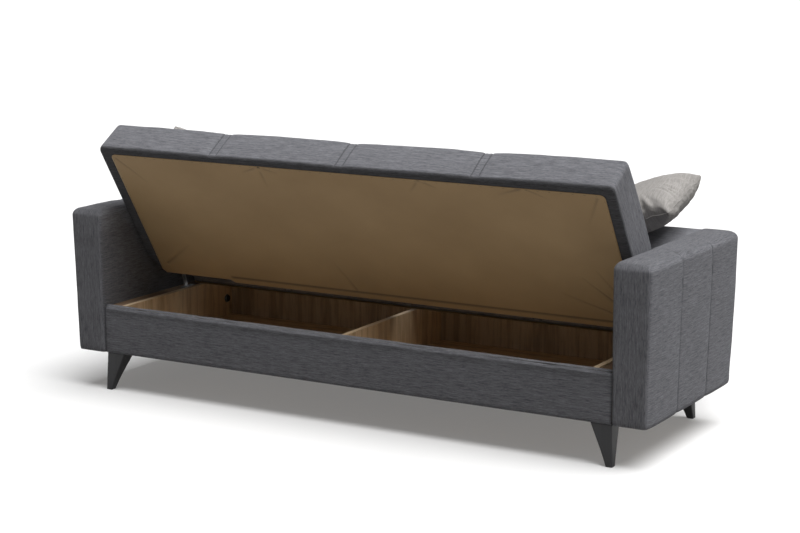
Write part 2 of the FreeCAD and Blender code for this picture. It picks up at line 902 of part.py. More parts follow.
def cushion_form():
    """A sewn cushion: crowned on both sides and drawn in between its corners."""
    slices = []
    for along in cushion_shares:
        half = cushion_side / 2 * (1 - cushion_draw_share * (1 - along ** 2))
        swell = (cushion_thickness - cushion_edge) * fullness(along * cushion_end_share) / 2
        x = cushion_side / 2 * along
        top = [Vector(x, half * across, cushion_edge / 2 + swell * fullness(across)) for across in cushion_shares]
        slices.append(top + [Vector(x, point.y, -point.z) for point in reversed(top)])
    return faceted(slices)


def turned_cushion(turns, place):
    shape = cushion_form()
    for axis, degrees in zip((Vector(1, 0, 0), Vector(0, 1, 0), Vector(0, 0, 1)), turns):
        shape.rotate(Vector(0, 0, 0), axis, degrees)
    shape.translate(place)
    return shape


def lowered_onto(shape, support):
    """The shape, raised and then lowered until it rests on its support."""
    moved = shape.copy()
    moved.translate(Vector(0, 0, cushion_start_lift))
    gap = moved.distToShape(support)[0]
    while gap > 2 * cushion_rest_gap:
        moved.translate(Vector(0, 0, cushion_rest_gap - gap))
        gap = moved.distToShape(support)[0]
    return moved


def cushion_on_backrest(cover):
    """The right cushion lies on the backrest, drawn in the flat panel's own place."""
    place = Vector(half_gap - right_cushion_in, right_cushion_out, right_cushion_up)
    return lowered_onto(turned_cushion(right_cushion_turns, place), cover)


def cushion_by_arm():
    """The left cushion leans on the arm's inner side, between the seat and the raised backrest."""
    place = Vector(0, pivot_setback - left_cushion_front, pivot_height + left_cushion_up)
    shape = turned_cushion(left_cushion_turns, place)
    low = shape.optimalBoundingBox().XMin
    shape.translate(Vector(cushion_rest_gap - half_gap - low, 0, 0))
    return shape


def add_pair(nodes, name, shape):
    nodes[name + "_right"] = shape
    nodes[name + "_left"] = mirrored(shape)


def build_base(nodes):
    nodes["front_rail_board"] = front_rail_board()
    nodes["front_rail_cover"] = front_rail_cover()
    nodes["rear_rail_board"] = turned_to_rear(front_rail_board())
    nodes["rear_rail_cover"] = turned_to_rear(front_rail_cover())
    nodes["rear_rail_lining"] = rear_rail_lining()
    add_pair(nodes, "side_board", side_board_right())
    nodes["centre_divider"] = centre_divider()
    nodes["edge_bands"] = edge_bands()
    add_pair(nodes, "floor_panel", floor_panel_right())
    nodes["floor_battens"] = floor_battens()
    add_pair(nodes, "corner_post_front", corner_post_front())
    add_pair(nodes, "corner_post_rear", corner_post_rear())
    add_pair(nodes, "hinge_post", hinge_post())
    add_pair(nodes, "hinge_plank", hinge_plank())
    add_pair(nodes, "arm_frame", arm_frame())
    add_pair(nodes, "arm_foam", arm_foam())
    add_pair(nodes, "arm_cover", arm_cover())
    nodes["arm_bolts"] = arm_bolts()
    nodes["bolt_caps"] = bolt_caps()
    add_pair(nodes, "leg_front", leg_front())
    add_pair(nodes, "leg_rear", turned_to_rear(leg_front()))
    nodes["leg_bolts"] = leg_bolts()
    add_pair(nodes, "hinge_base", hinge_base())
    add_pair(nodes, "hinge_pin", hinge_pin())
    nodes["base_screws"] = base_screws()


def build_panel(nodes, name, place, inner, outer, fitting):
    """One panel, placed by the function place, with its fitting's arms."""
    nodes[name + "_frame"] = place(panel_frame(inner))
    nodes[name + "_webbing"] = place(panel_webbing(inner))
    nodes[name + "_foam"] = place(panel_foam(inner, outer))
    nodes[name + "_cover"] = place(panel_cover(inner, outer))
    nodes[name + "_lining"] = place(panel_lining())
    nodes[name + "_arm_screws"] = place(fitting_screws_of(outer))
    add_pair(nodes, name + "_arm", place(fitting))


def build_cushions(nodes):
    flat_cover = panel_cover(back_arm_inner, back_arm_outer)
    nodes["scatter_cushion_right"] = leaned(cushion_on_backrest(flat_cover))
    nodes["scatter_cushion_left"] = cushion_by_arm()


def origin_shift(nodes):
    """The move that puts the origin under the middle of the whole part."""
    boxes = [shape.optimalBoundingBox() for shape in nodes.values()]
    low = min(b.YMin for b in boxes)
    high = max(b.YMax for b in boxes)
    return Vector(0, -(low + high) / 2, 0)


def main():
    nodes = {}
    build_base(nodes)
    build_panel(nodes, "seat", lifted, seat_arm_inner, seat_arm_outer, seat_arm())
    build_panel(nodes, "back", leaned, back_arm_inner, back_arm_outer, back_arm())
    add_pair(nodes, "ratchet_housing", lifted(ratchet_housing()))
    build_cushions(nodes)
    shift = origin_shift(nodes)
    os.makedirs("parts", exist_ok=True)
    for name, shape in nodes.items():
        shape.translate(shift)
        shape.exportStep("parts/" + name + ".step")
        print(name, len(shape.Solids), "solids, valid", shape.isValid())
    print("nodes", len(nodes))
    print("shift", shift.y, "pivot", pivot_setback + shift.y, pivot_height)


main()
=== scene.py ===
# %% [markdown]
# # A click-clack sofa bed with its bedding box open
#
# The object is a three-seat sofa bed: box arms, a bedding box on four tapered legs, a seat that
# tips up over the box and a backrest that lies down behind it. Each is a timber frame under foam
# and a streaky slate cloth. The rigid model comes first and gives every size and place. This
# lesson dresses it: soft pieces are made again as padded or sewn forms, and rigid pieces keep
# their solids and get a finish.

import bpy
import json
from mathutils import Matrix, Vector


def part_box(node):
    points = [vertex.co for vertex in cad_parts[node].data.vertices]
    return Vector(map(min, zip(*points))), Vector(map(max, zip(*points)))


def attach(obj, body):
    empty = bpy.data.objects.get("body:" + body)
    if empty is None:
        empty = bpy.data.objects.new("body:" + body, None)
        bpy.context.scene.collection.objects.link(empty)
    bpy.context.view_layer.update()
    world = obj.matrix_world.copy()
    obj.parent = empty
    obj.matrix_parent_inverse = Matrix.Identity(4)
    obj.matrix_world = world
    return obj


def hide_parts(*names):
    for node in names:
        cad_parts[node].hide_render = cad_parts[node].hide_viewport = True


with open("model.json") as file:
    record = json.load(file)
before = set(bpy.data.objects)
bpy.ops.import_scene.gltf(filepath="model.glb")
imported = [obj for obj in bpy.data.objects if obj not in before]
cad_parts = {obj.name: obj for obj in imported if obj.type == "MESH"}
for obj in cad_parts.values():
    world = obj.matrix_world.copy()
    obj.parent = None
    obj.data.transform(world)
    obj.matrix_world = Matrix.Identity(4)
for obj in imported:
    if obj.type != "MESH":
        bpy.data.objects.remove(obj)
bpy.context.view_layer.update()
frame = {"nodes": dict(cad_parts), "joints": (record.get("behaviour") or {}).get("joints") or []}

import itertools
import json
import math

import bmesh
import bpy
import numpy as np
from mathutils import Vector

nodes = frame["nodes"]

# %% [markdown]
# ## Where things are
#
# Both panels, seat and backrest, are one design: a padded slab hung on a pivot at each end.
# Drawing it once, lying flat, is how a maker would do it too. Its own axes are x along the sofa, s
# outward from the pivot and t up through the padding. Two small functions then stand it where the
# open sofa has it.

# %% Sizes of the sofa, in metres
pivot = Vector(frame["joints"][0]["pos_m"])
seat_turn = math.radians(57.7)      # how far the seat is tipped up from flat
back_turn = math.radians(14.5)      # how far the backrest stands above level
front_to_pivot = 0.398
arm_front = pivot.y - front_to_pivot
half_gap = 0.952                    # from the middle of the sofa to an arm's inner side

# A panel reaches from hinge to front along s and from low to top along t. It has a radius round its
# ends and one along its lower edge, a cut corner beside each hinge, and pairs of stitched rows that
# lie rows to each side of a seam and pull the cover in. The lining lies in the recess.
panel = {
    "half": 0.9505, "hinge": 0.016, "front": 0.577, "low": -0.126, "top": 0.009,
    "round": 0.016, "edge": 0.013, "corner": 0.060, "crown": 0.009, "recess": 0.009,
    "seams": (-0.486, 0.0, 0.486), "rows": 0.0135, "pull": 0.004,
}
# The arm's foam swells by side, end and rear on its way up. Its seams are shares of its depth.
arm = {
    "width": 0.113, "depth": 0.676, "height": 0.630, "low": 0.133,
    "side": 0.015, "end": 0.014, "rear": 0.024, "puff": 0.004, "corner": 0.012,
    "top_round": 0.024, "inner_round": 0.012, "end_round": 0.016, "seams": (0.343, 0.683),
}
short_names = {"seat": "seat", "backrest": "back"}
panel_seeds = {"seat": 3, "backrest": 17}
arm_seeds = {"right": 61, "left": 73}


def stand_seat(points):
    """From a panel's own axes to the tipped-up seat."""
    x, s, t = np.moveaxis(points, -1, 0)
    y = pivot.y - s * math.cos(seat_turn) + t * math.sin(seat_turn)
    z = pivot.z + s * math.sin(seat_turn) + t * math.cos(seat_turn)
    return np.stack([x, y, z], -1)


def stand_back(points):
    """From a panel's own axes to the lowered backrest."""
    x, s, t = np.moveaxis(points, -1, 0)
    y = pivot.y + s * math.cos(back_turn) - t * math.sin(back_turn)
    z = pivot.z + s * math.sin(back_turn) + t * math.cos(back_turn)
    return np.stack([x, y, z], -1)


def stand_arm(points):
    """From the arm's own axes, with y = 0 at its front, to the sofa."""
    return points + np.array([0, arm_front, 0])


def mirrored(stand):
    """The same on the left, as a mirror image."""
    def stand_left(points):
        return stand(points) * np.array([-1, 1, 1])
    return stand_left


stands = {
    "seat": stand_seat, "backrest": stand_back, "right": stand_arm, "left": mirrored(stand_arm),
}
print("pivot", [round(v, 4) for v in pivot])

# %% [markdown]
# ## Unevenness
#
# Cloth over foam is never quite flat. A small lattice noise gives the same gentle lumps on every
# run, because it is worked out from the place of a point and a seed, with no random draw. A bell
# and a soft step fade such things in and out.

# %% A smooth noise on points
hash_primes = (73856093, 19349663, 83492791)
hash_seed, hash_mixer, full_word = 2654435761, 1274126177, 0xFFFFFFFF


def lumps(points, cell, seed):
    """Smooth noise from -1 to 1, with bumps about one cell wide."""
    q = np.asarray(points, float) / cell
    base = np.floor(q).astype(np.int64)
    part = q - base
    part = part * part * (3 - 2 * part)
    total = np.zeros(q.shape[:-1])
    for corner in itertools.product((0, 1), repeat=3):
        k = base + np.array(corner)
        code = seed * hash_seed
        for axis, prime in enumerate(hash_primes):
            code = code ^ (k[..., axis] * prime)
        code = ((code ^ (code >> 13)) * hash_mixer) & full_word
        value = ((code ^ (code >> 16)) & full_word) / full_word * 2 - 1
        weight = np.prod(np.where(np.array(corner) == 1, part, 1 - part), axis=-1)
        total += value * weight
    return total


def bell(distance, width):
    """1 in the middle, fading to 0 within about two widths."""
    return np.exp(-(distance / width) ** 2)


def soft_step(value, low, high):
    """0 below low, 1 above high and smooth between."""
    share = np.clip((value - low) / (high - low), 0, 1)
    return share * share * (3 - 2 * share)


def shares(count):
    """Even shares from 0 up to, but without, 1."""
    return np.arange(count) / count


print("noise at three points", np.round(lumps([[0, 0, 0.3], [0.2, 0.1, 0], [1, 2, 3]], 0.05, 1), 3))

# %% [markdown]
# ## A skin through rings
#
# A padded arm, a panel, a rail and a leg all have the same build: one outline that changes along
# an axis. A grid of rings makes a clean skin that can be pushed in at a seam and out in a channel.
# Each end closes on a line inside it, as the cloth is folded in on the real piece. The cloth
# pattern needs its thread direction, so every face takes its UV, in metres, from the side that it
# faces.

# %% Build a closed skin from rings of points
same_place, no_length = 1e-6, 1e-7      # points to merge, and edges to dissolve


def facing(corners):
    """Which of the three axes each face looks along most."""
    normal = np.cross(corners[:, 2] - corners[:, 0], corners[:, 3] - corners[:, 1])
    return np.abs(normal).argmax(1)


def closing(ring, start, end, steps, rise=(0, 0, 0)):
    """Rings that close one end of a skin on the line from start to end, swelling out by rise."""
    start, end, rise = (np.array(v, float) for v in (start, end, rise))
    along = end - start
    share = np.clip((ring - start) @ along / max(along @ along, 1e-12), 0, 1)
    spine = start + share[:, None] * along
    made = []
    for step in range(1, steps + 1):
        keep = 1 - step / steps
        made.append(spine + (ring - spine) * keep + rise * (1 - keep ** 2))
    return made


def outward(rings):
    """Unit normals on a grid of rings, away from its middle."""
    down = np.gradient(rings, axis=0)
    around = np.roll(rings, -1, 1) - np.roll(rings, 1, 1)
    normal = np.cross(down, around)
    normal /= np.maximum(np.linalg.norm(normal, axis=-1, keepdims=True), 1e-12)
    away = rings - rings.mean(axis=(0, 1))
    return normal * np.sign((normal * away).sum(-1).mean())


def finish_mesh(name, points, faces, uv, material, closed=True, shade=None):
    """One mesh object at the origin, with its UV map, its doubles merged and its faces outward.

    shade, from 0 to 1 at each point, says where shade is painted into the cloth's colour: along
    hems, stitched rows and seams, in creases and gaps, on the arms' tops and inner sides, and over
    the rear strips.
    """
    mesh = bpy.data.meshes.new(name)
    mesh.from_pydata(points.tolist(), [], faces.tolist())
    layer = mesh.uv_layers.new(name="cloth")
    layer.data.foreach_set("uv", np.asarray(uv, np.float32).reshape(-1))
    if shade is not None:
        mark = mesh.attributes.new("shade", "FLOAT", "POINT")
        mark.data.foreach_set("value", np.asarray(shade, np.float32).ravel())
    work = bmesh.new()
    work.from_mesh(mesh)
    bmesh.ops.remove_doubles(work, verts=work.verts, dist=same_place)
    bmesh.ops.dissolve_degenerate(work, edges=work.edges, dist=no_length)
    if closed:
        bmesh.ops.recalc_face_normals(work, faces=work.faces)
    work.to_mesh(mesh)
    work.free()
    mesh.shade_smooth()
    mesh.materials.append(material)
    piece = bpy.data.objects.new(name, mesh)
    bpy.context.scene.collection.objects.link(piece)
    print("made", name, len(mesh.polygons), "faces")
    return piece


def grid_faces(rows, columns, wrap):
    """Four-sided faces of a grid, with its last column joined to its first where it wraps."""
    last = columns if wrap else columns - 1
    i, j = np.meshgrid(np.arange(rows - 1) * columns, np.arange(last), indexing="ij")
    i, j = i.ravel(), j.ravel()
    k, below = (j + 1) % columns, i + columns
    return np.stack([i + j, i + k, below + k, below + j], 1)


def skin(name, rings, stand, thread, material, wrap=True, shade=None):
    """A skin over a grid. thread gives the UV's two axes for faces that look along x, y or z."""
    rings = np.asarray(rings, float)
    flat = rings.reshape(-1, 3)
    faces = grid_faces(*rings.shape[:2], wrap)
    corners = flat[faces]
    axes = np.array(thread)[facing(corners)]
    uv = np.take_along_axis(corners, np.repeat(axes[:, None, :], 4, 1), 2)
    return finish_mesh(name, stand(flat), faces, uv, material, wrap, shade)


print("skins are made of rings")

# %% [markdown]
# ## Finishes as recipes
#
# A finish is a small network of nodes. Written as plain expressions it reads like the maths it is:
# one class wraps a socket and adds a Math node for each operator, and one method makes any other
# node.

# %% A socket that can be added and multiplied
# Painted shade: the dark colour that cloth is drawn towards wherever shade is painted into it.
painted_shade_colour = (0.012, 0.011, 0.010, 1)        # the colour at the bottom of a fold


class Flow:
    """One output of a node, used in expressions."""

    def __init__(self, network, socket):
        self.network, self.socket = network, socket

    def maths(self, operation, *others):
        return self.network.node("ShaderNodeMath", {"operation": operation}, [self, *others])

    def __add__(self, other):
        return self.maths("ADD", other)

    __radd__ = __add__

    def __mul__(self, other):
        return self.maths("MULTIPLY", other)

    __rmul__ = __mul__

    def __sub__(self, other):
        return self.maths("SUBTRACT", other)

    def __rsub__(self, other):
        return self.network.node("ShaderNodeMath", {"operation": "SUBTRACT"}, [other, self])

    def clipped(self, low, high):
        """0 below low, 1 above high."""
        return self.network.node("ShaderNodeMapRange", {"clamp": True}, {0: self, 1: low, 2: high})


class Network:
    """A node tree, with one method that makes any node."""

    def __init__(self, tree):
        self.tree = tree

    def plug(self, socket, value):
        if isinstance(value, Flow):
            self.tree.links.new(value.socket, socket)
        else:
            socket.default_value = value

    def node(self, kind, settings=None, sockets=(), out=0):
        made = self.tree.nodes.new(kind)
        for key, value in (settings or {}).items():
            setattr(made, key, value)
        pairs = sockets.items() if isinstance(sockets, dict) else enumerate(sockets)
        for key, value in pairs:
            self.plug(made.inputs[key], value)
        return Flow(self, made.outputs[out])

    def seen(self):
        """1 for camera, mirror and glass rays, and 0 for the light that falls on the sofa."""
        rays = self.tree.nodes.new("ShaderNodeLightPath").outputs
        camera, mirror, glass = (Flow(self, rays["Is %s Ray" % kind])
                                 for kind in ("Camera", "Glossy", "Transmission"))
        return camera.maths("MAXIMUM", mirror).maths("MAXIMUM", glass)

    def surface(self, shader):
        """Send a shader to the output."""
        output = next(node for node in self.tree.nodes if "Surface" in node.inputs)
        self.tree.links.new(shader.socket, output.inputs["Surface"])


class Recipe(Network):
    """A material with its Principled shader. Its constants are set on the shader's own sockets."""

    def __init__(self, name, **constants):
        self.material = bpy.data.materials.new(name)
        self.material.use_nodes = True
        super().__init__(self.material.node_tree)
        self.shader = self.tree.nodes["Principled BSDF"]
        for key, value in constants.items():
            self.shader.inputs[key.replace("_", " ")].default_value = value

    def cloth_place(self):
        return self.node("ShaderNodeUVMap", {"uv_map": "cloth"})

    def with_painted_shade(self, colour, strength):
        """The colour, darkened towards the painted shade colour where the mesh is marked with
        painted shade.
        """
        mark = self.node("ShaderNodeAttribute", {"attribute_name": "shade"}, out=2)
        return self.mix(mark * strength, colour, painted_shade_colour)

    def object_place(self):
        return self.node("ShaderNodeTexCoord", out=3)

    def stretched(self, place, scale, turn=(0, 0, 0)):
        return self.node("ShaderNodeMapping", {}, {0: place, 2: turn, 3: scale})

    def noise(self, place, scale=1.0, detail=2.0, roughness=0.5):
        sockets = {"Vector": place, "Scale": scale, "Detail": detail, "Roughness": roughness}
        return self.node("ShaderNodeTexNoise", {}, sockets)

    def cells(self, place, scale=1.0, random=1.0):
        sockets = {"Vector": place, "Scale": scale, "Randomness": random}
        return self.node("ShaderNodeTexVoronoi", {"feature": "F1"}, sockets)

    def waves(self, direction, place, scale, distortion=0.0):
        sockets = {"Vector": place, "Scale": scale, "Distortion": distortion}
        return self.node("ShaderNodeTexWave", {"bands_direction": direction}, sockets)

    def mix(self, factor, first, second):
        sockets = {0: factor, 6: first, 7: second}
        return self.node("ShaderNodeMix", {"data_type": "RGBA"}, sockets, out=2)

    def bump(self, height, distance, strength=1.0):
        sockets = {"Strength": strength, "Distance": distance, "Height": height}
        return self.node("ShaderNodeBump", {}, sockets)

    def done(self, colour=None, roughness=None, normal=None):
        for key, value in (("Base Color", colour), ("Roughness", roughness), ("Normal", normal)):
            if value is not None:
                self.plug(self.shader.inputs[key], value)
        print("finish", self.material.name, len(self.tree.nodes), "nodes")
        return self.material


# %% [markdown]
# ## The slate upholstery
#
# The cloth is a flat weave of thick and thin yarn. Darker slubs, a few centimetres long and a few
# millimetres thick, run along one thread, and a plain weave shows between them from close by.
# Noise stretched along u gives the slubs, and two crossed waves give the weave. Sheen stands for
# its fuzz.

# %% Streaky woven cloth


def woven(name, dark, light, slub=1.0, weave=0.0016, rough=0.92, sheen=0.03):
    """Cloth with its long thread along u. weave is the width of one thread."""
    r = Recipe(name, Sheen_Weight=sheen, Sheen_Roughness=0.55, Specular_IOR_Level=0.12)
    place = r.cloth_place()
    long_slub = r.noise(r.stretched(place, (26, 330, 1)), detail=3.0, roughness=0.62)
    short_slub = r.noise(r.stretched(place, (90, 620, 1)), detail=2.0, roughness=0.6)
    band = r.noise(r.stretched(place, (8, 150, 1)), detail=2.0)
    patch = r.noise(r.stretched(place, (7, 12, 1)), detail=2.0)
    thread = 2 * math.pi / weave
    split = r.node("ShaderNodeSeparateXYZ", {}, [place])
    across = Flow(r, split.socket.node.outputs[1])
    warp = (split * thread).maths("SINE")
    weft = (across * thread).maths("SINE")
    check = warp * weft * 0.5 + 0.5
    slubs = long_slub.clipped(0.36, 0.64) * 0.46 + short_slub.clipped(0.34, 0.66) * 0.32
    slubs = slubs + band.clipped(0.35, 0.65) * 0.17 + patch * 0.20
    tone = slubs * slub + check * 0.12 - 0.08
    # Painted shade: the cloth's colour is darkened towards the painted shade colour where its mesh
    # is marked.
    colour = r.with_painted_shade(r.mix(tone.clipped(0.0, 1.1), (*dark, 1), (*light, 1)), 0.55)
    height = check * 0.5 + slubs * 0.8
    return r.done(colour, rough - tone * 0.06, r.bump(height, 0.0006, 0.55))


slate = woven("slate_cloth", (0.058, 0.059, 0.066), (0.260, 0.262, 0.284))
cushion_cloth = woven("cushion_cloth", (0.235, 0.223, 0.212), (0.430, 0.412, 0.395),
                      slub=0.9, weave=0.0022, sheen=0.02)

# %% [markdown]
# ## Lining and webbing
#
# The underside of each panel is closed with a thin tan sheet of bonded fibres. It has no weave:
# fine fibres lie every way, with small welded dots in rows, and it shines a little where it is
# pulled tight. The straps of webbing behind it are ribbed.

# %% Bonded lining and webbing


def bonded():
    r = Recipe("tan_lining", Sheen_Weight=0.12, Sheen_Roughness=0.4, Specular_IOR_Level=0.35)
    place = r.cloth_place()
    fibre = r.noise(r.stretched(place, (900, 900, 1)), detail=2.0)
    cloud = r.noise(r.stretched(place, (3.2, 4.1, 1)), detail=3.0)
    dots = r.cells(r.stretched(place, (620, 620, 1)), random=0.15)
    tone = cloud * 0.75 + fibre * 0.2 + dots * 0.12
    colour = r.mix(tone.clipped(0.25, 0.85), (0.345, 0.228, 0.112, 1), (0.490, 0.336, 0.174, 1))
    # Painted shade: the lining's colour is darkened in its creases and along its fold line, where
    # its mesh is marked.
    colour = r.with_painted_shade(colour, 0.75)
    return r.done(colour, 0.62 - cloud * 0.12, r.bump(dots * 0.6 + fibre * 0.4, 0.0002, 0.5))


def strap():
    r = Recipe("webbing_strap", Specular_IOR_Level=0.3)
    place = r.object_place()
    wave = r.waves("X", place, 90.0, 0.4)
    colour = r.mix(wave, (0.05, 0.05, 0.05, 1), (0.17, 0.16, 0.15, 1))
    return r.done(colour, 0.8 - wave * 0.1, r.bump(wave, 0.0005, 0.6))


tan = bonded()
webbing = strap()

# %% [markdown]
# ## Boards and timber
#
# The box is made of board faced with an oak print whose grain stands upright, its cut edges closed
# with a lighter band. Real grain is long cells with darker pores and slow waves of growth.
# Stretching noise along the grain, and warping it with a second noise, gives both. Sawn softwood
# is the same idea with wider, paler rings.

# %% Wood from stretched noise


def timber(name, pale, deep, grain, rings=9.0, pores=0.35, rough=0.5, ease=1.0):
    """grain is the scale along x, y and z: small along the grain and large across it."""
    r = Recipe(name, Specular_IOR_Level=0.4)
    place = r.object_place()
    drift = r.noise(r.stretched(place, tuple(v * 0.45 for v in grain)), 1.0, 2.0)
    growth = r.noise(r.stretched(place, grain), 1.0, 5.0, 0.62)
    fine = r.noise(r.stretched(place, tuple(v * 7 for v in grain)), 1.0, 3.0, 0.7)
    figure = ((growth * rings + drift * 3.0) * 2.0).maths("SINE") * 0.5 + 0.5
    tone = figure * 0.45 * ease + drift * 0.35 + fine * 0.25
    colour = r.mix(tone.clipped(0.15, 0.9), (*pale, 1), (*deep, 1))
    dark_pores = fine.clipped(0.56, 0.74) * pores
    colour = r.mix(dark_pores, colour, (*[v * 0.45 for v in deep], 1))
    return r.done(colour, rough + fine * 0.12, r.bump(fine * 0.6 + figure * 0.3, 0.0003, 0.35))


upright = (34.0, 34.0, 2.6)
lengthwise = (2.6, 34.0, 34.0)
depthwise = (34.0, 2.6, 34.0)
# Painted light: the side boards, divider and floor panel take lighter copies of the same oak print,
# the floor panel's with its grain lengthwise.
oak_upright = timber("oak_print_upright", (0.52, 0.40, 0.27), (0.29, 0.21, 0.135), upright)
oak_side_painted_light = timber("oak_print_side_painted_light", (0.74, 0.56, 0.36), (0.44, 0.305, 0.18), upright)
oak_flat_painted_light = timber("oak_print_flat_painted_light", (0.70, 0.52, 0.33), (0.42, 0.29, 0.17), lengthwise)
brown_plank = timber("brown_plank", (0.215, 0.140, 0.085), (0.105, 0.066, 0.040), depthwise,
                     pores=0.2)
banding = timber("edge_banding", (0.68, 0.53, 0.36), (0.46, 0.345, 0.22), depthwise, pores=0.1)
pine = (0.62, 0.47, 0.29), (0.43, 0.29, 0.155)
softwood_along = timber("softwood_along", *pine, lengthwise, 5.0, 0.1, 0.65)
softwood_up = timber("softwood_upright", *pine, upright, 5.0, 0.1, 0.65)
black_wood = timber("black_stained_leg", (0.020, 0.020, 0.022), (0.009, 0.009, 0.010), upright,
                    6.0, 0.2, 0.46)

# %% [markdown]
# ## Steel, plastic and thread
#
# The hinge fittings are pressed from zinc-plated sheet. The plating has a faint cloud of
# passivation and tiny scratches from handling, so its roughness changes more than its colour. Caps
# are moulded black plastic with a fine spark texture.

# %% Plated steel, black plastic and sewing thread


def plated(name, light, dull, rough):
    r = Recipe(name, Metallic=1.0)
    place = r.object_place()
    cloud = r.noise(place, 38.0, 3.0)
    scratch = r.noise(r.stretched(place, (60, 900, 420), (0.5, 0.2, 0.3)), 1.0, 2.0, 0.7)
    colour = r.mix(cloud.clipped(0.3, 0.7), (*light, 1), (*dull, 1))
    height = scratch * 0.5 + cloud * 0.5
    return r.done(colour, cloud * 0.18 + scratch * 0.14 + rough, r.bump(height, 0.0001, 0.4))


def moulded():
    r = Recipe("black_plastic", Specular_IOR_Level=0.4)
    place = r.object_place()
    spark = r.noise(place, 1600.0, 2.0)
    tint = r.noise(place, 60.0)
    colour = r.mix(tint, (0.012, 0.012, 0.013, 1), (0.026, 0.026, 0.027, 1))
    return r.done(colour, 0.42 + spark * 0.15, r.bump(spark, 0.0001, 0.5))


def sewing(name, dark, light):
    r = Recipe(name, Sheen_Weight=0.2)
    place = r.object_place()
    ply = r.waves("DIAGONAL", place, 700.0)
    colour = r.mix(ply, (*dark, 1), (*light, 1))
    return r.done(colour, 0.75 - ply * 0.1, r.bump(ply, 0.0001, 0.5))


zinc_plate = plated("zinc_sheet", (0.56, 0.56, 0.57), (0.38, 0.38, 0.385), 0.30)
zinc_bolt = plated("zinc_bolt", (0.66, 0.66, 0.66), (0.44, 0.44, 0.44), 0.22)
dull_staple = plated("dull_staple", (0.20, 0.165, 0.12), (0.13, 0.105, 0.075), 0.5)
black_plastic = moulded()
dark_thread = sewing("dark_thread", (0.018, 0.018, 0.021), (0.040, 0.041, 0.046))

# %% [markdown]
# ## Seat and backrest padding
#
# Each panel is a box of foam in a sewn cover. Three pairs of stitched rows, 27 mm apart, divide
# its top into four channels and run on over the front, so the cover pulls in there and swells
# between. The ends are round, and the two corners beside the hinges are cut away to clear the
# fittings. The skin follows the solid's outline and adds what the needle does: two narrow grooves
# at each seam, puckers beside them and slow unevenness in the foam. The underside has a shallow
# recess, where the lining lies.

# %% Rings of one panel
half_channel = (panel["seams"][1] - panel["seams"][0]) / 2
needle = {
    "groove": 0.0036, "groove_width": 0.0028, "dip": 0.0009, "dip_width": 0.018,
    "pucker": 0.0006, "pucker_width": 0.034, "pucker_pitch": 260,
}
# Height of the foam's lumps, their size along x, and how much shorter they are across it.
foam_lumps = ((0.0016, 0.16, 1), (0.0009, 0.06, 1.6), (0.0004, 0.022, 2.2))
belly = {"rise": 0.0028, "middle": -0.058, "width": 0.045}      # the front bulges a little
front_slant = 0.004                     # the front runs out a little toward the right end


def seam_gap(x):
    """How far places along the sofa are from the nearest seam of a panel."""
    return np.min(np.abs(np.asarray(x)[..., None] - np.array(panel["seams"])), axis=-1)


def panel_stations():
    """Places along x, close together at the seams and at the round ends."""
    close = np.array([0, 4, 8, 10, 11.5, 12.5, 13.5, 14.5, 15.5, 17, 19, 23, 28, 35, 44, 56]) / 1000
    pitch, beside_seam = 0.012, 0.058
    flat_end = panel["half"] - panel["round"]
    seam_rows = [seam + side * d for seam in panel["seams"] for side in (-1, 1) for d in close]
    spread = np.arange(-flat_end, flat_end + 1e-6, pitch)
    ends = flat_end + panel["round"] * np.sin(np.linspace(0, math.pi / 2, 8))
    everything = np.concatenate([seam_rows, spread[seam_gap(spread) > beside_seam], ends, -ends])
    return np.unique(np.round(everything, 6))


def hinge_line(x):
    """Where the hinge end of a panel runs, with its two cut corners."""
    return panel["hinge"] + np.clip(np.abs(x) - (panel["half"] - panel["corner"]), 0, None)


def panel_outlines(xs):
    """The plain outline round the panel at each place along x, as s and t."""
    p = panel
    r, e = p["round"], p["edge"]
    turn = np.arcsin(np.clip((np.abs(xs) - (p["half"] - r)) / r, 0, 1))
    inset = r * (1 - np.cos(turn))
    draw = np.clip(1 - seam_gap(xs) / half_channel, 0, 1) ** 3
    pull = p["pull"] * draw
    crown = p["crown"] * (1 - 0.45 * draw)
    near = hinge_line(xs) + inset
    far = p["front"] - inset - pull + front_slant * soft_step(xs, 0.1, 0.8)
    low = p["low"] + inset * 0.4
    top = p["top"] - inset - pull
    parts = []

    def straight(s0, t0, s1, t1, count, rise=0):
        u = shares(count)
        s0, t0, s1, t1 = (v[:, None] for v in (s0, t0, s1, t1))
        parts.append(np.stack([s0 + (s1 - s0) * u, t0 + (t1 - t0) * u + rise], -1))

    def corner(s, t, first, count, radius):
        angle = math.radians(first) + shares(count) * math.pi / 2
        s, t = s[:, None], t[:, None]
        parts.append(np.stack([s + radius * np.cos(angle), t + radius * np.sin(angle)], -1))

    straight(near + e, low, far - e, low, 64)
    corner(far - e, low + e, 270, 6, e)
    straight(far, low + e, far, top - r, 18)
    corner(far - r, top - r, 0, 7, r)
    u = shares(66)
    straight(far - r, top, near + r, top, 66, crown[:, None] * (4 * u * (1 - u)) ** 0.8)
    corner(near + r, top - r, 90, 7, r)
    straight(near, top - r, near, low + e, 16)
    corner(near + e, low + e, 180, 6, e)
    return np.concatenate(parts, 1)


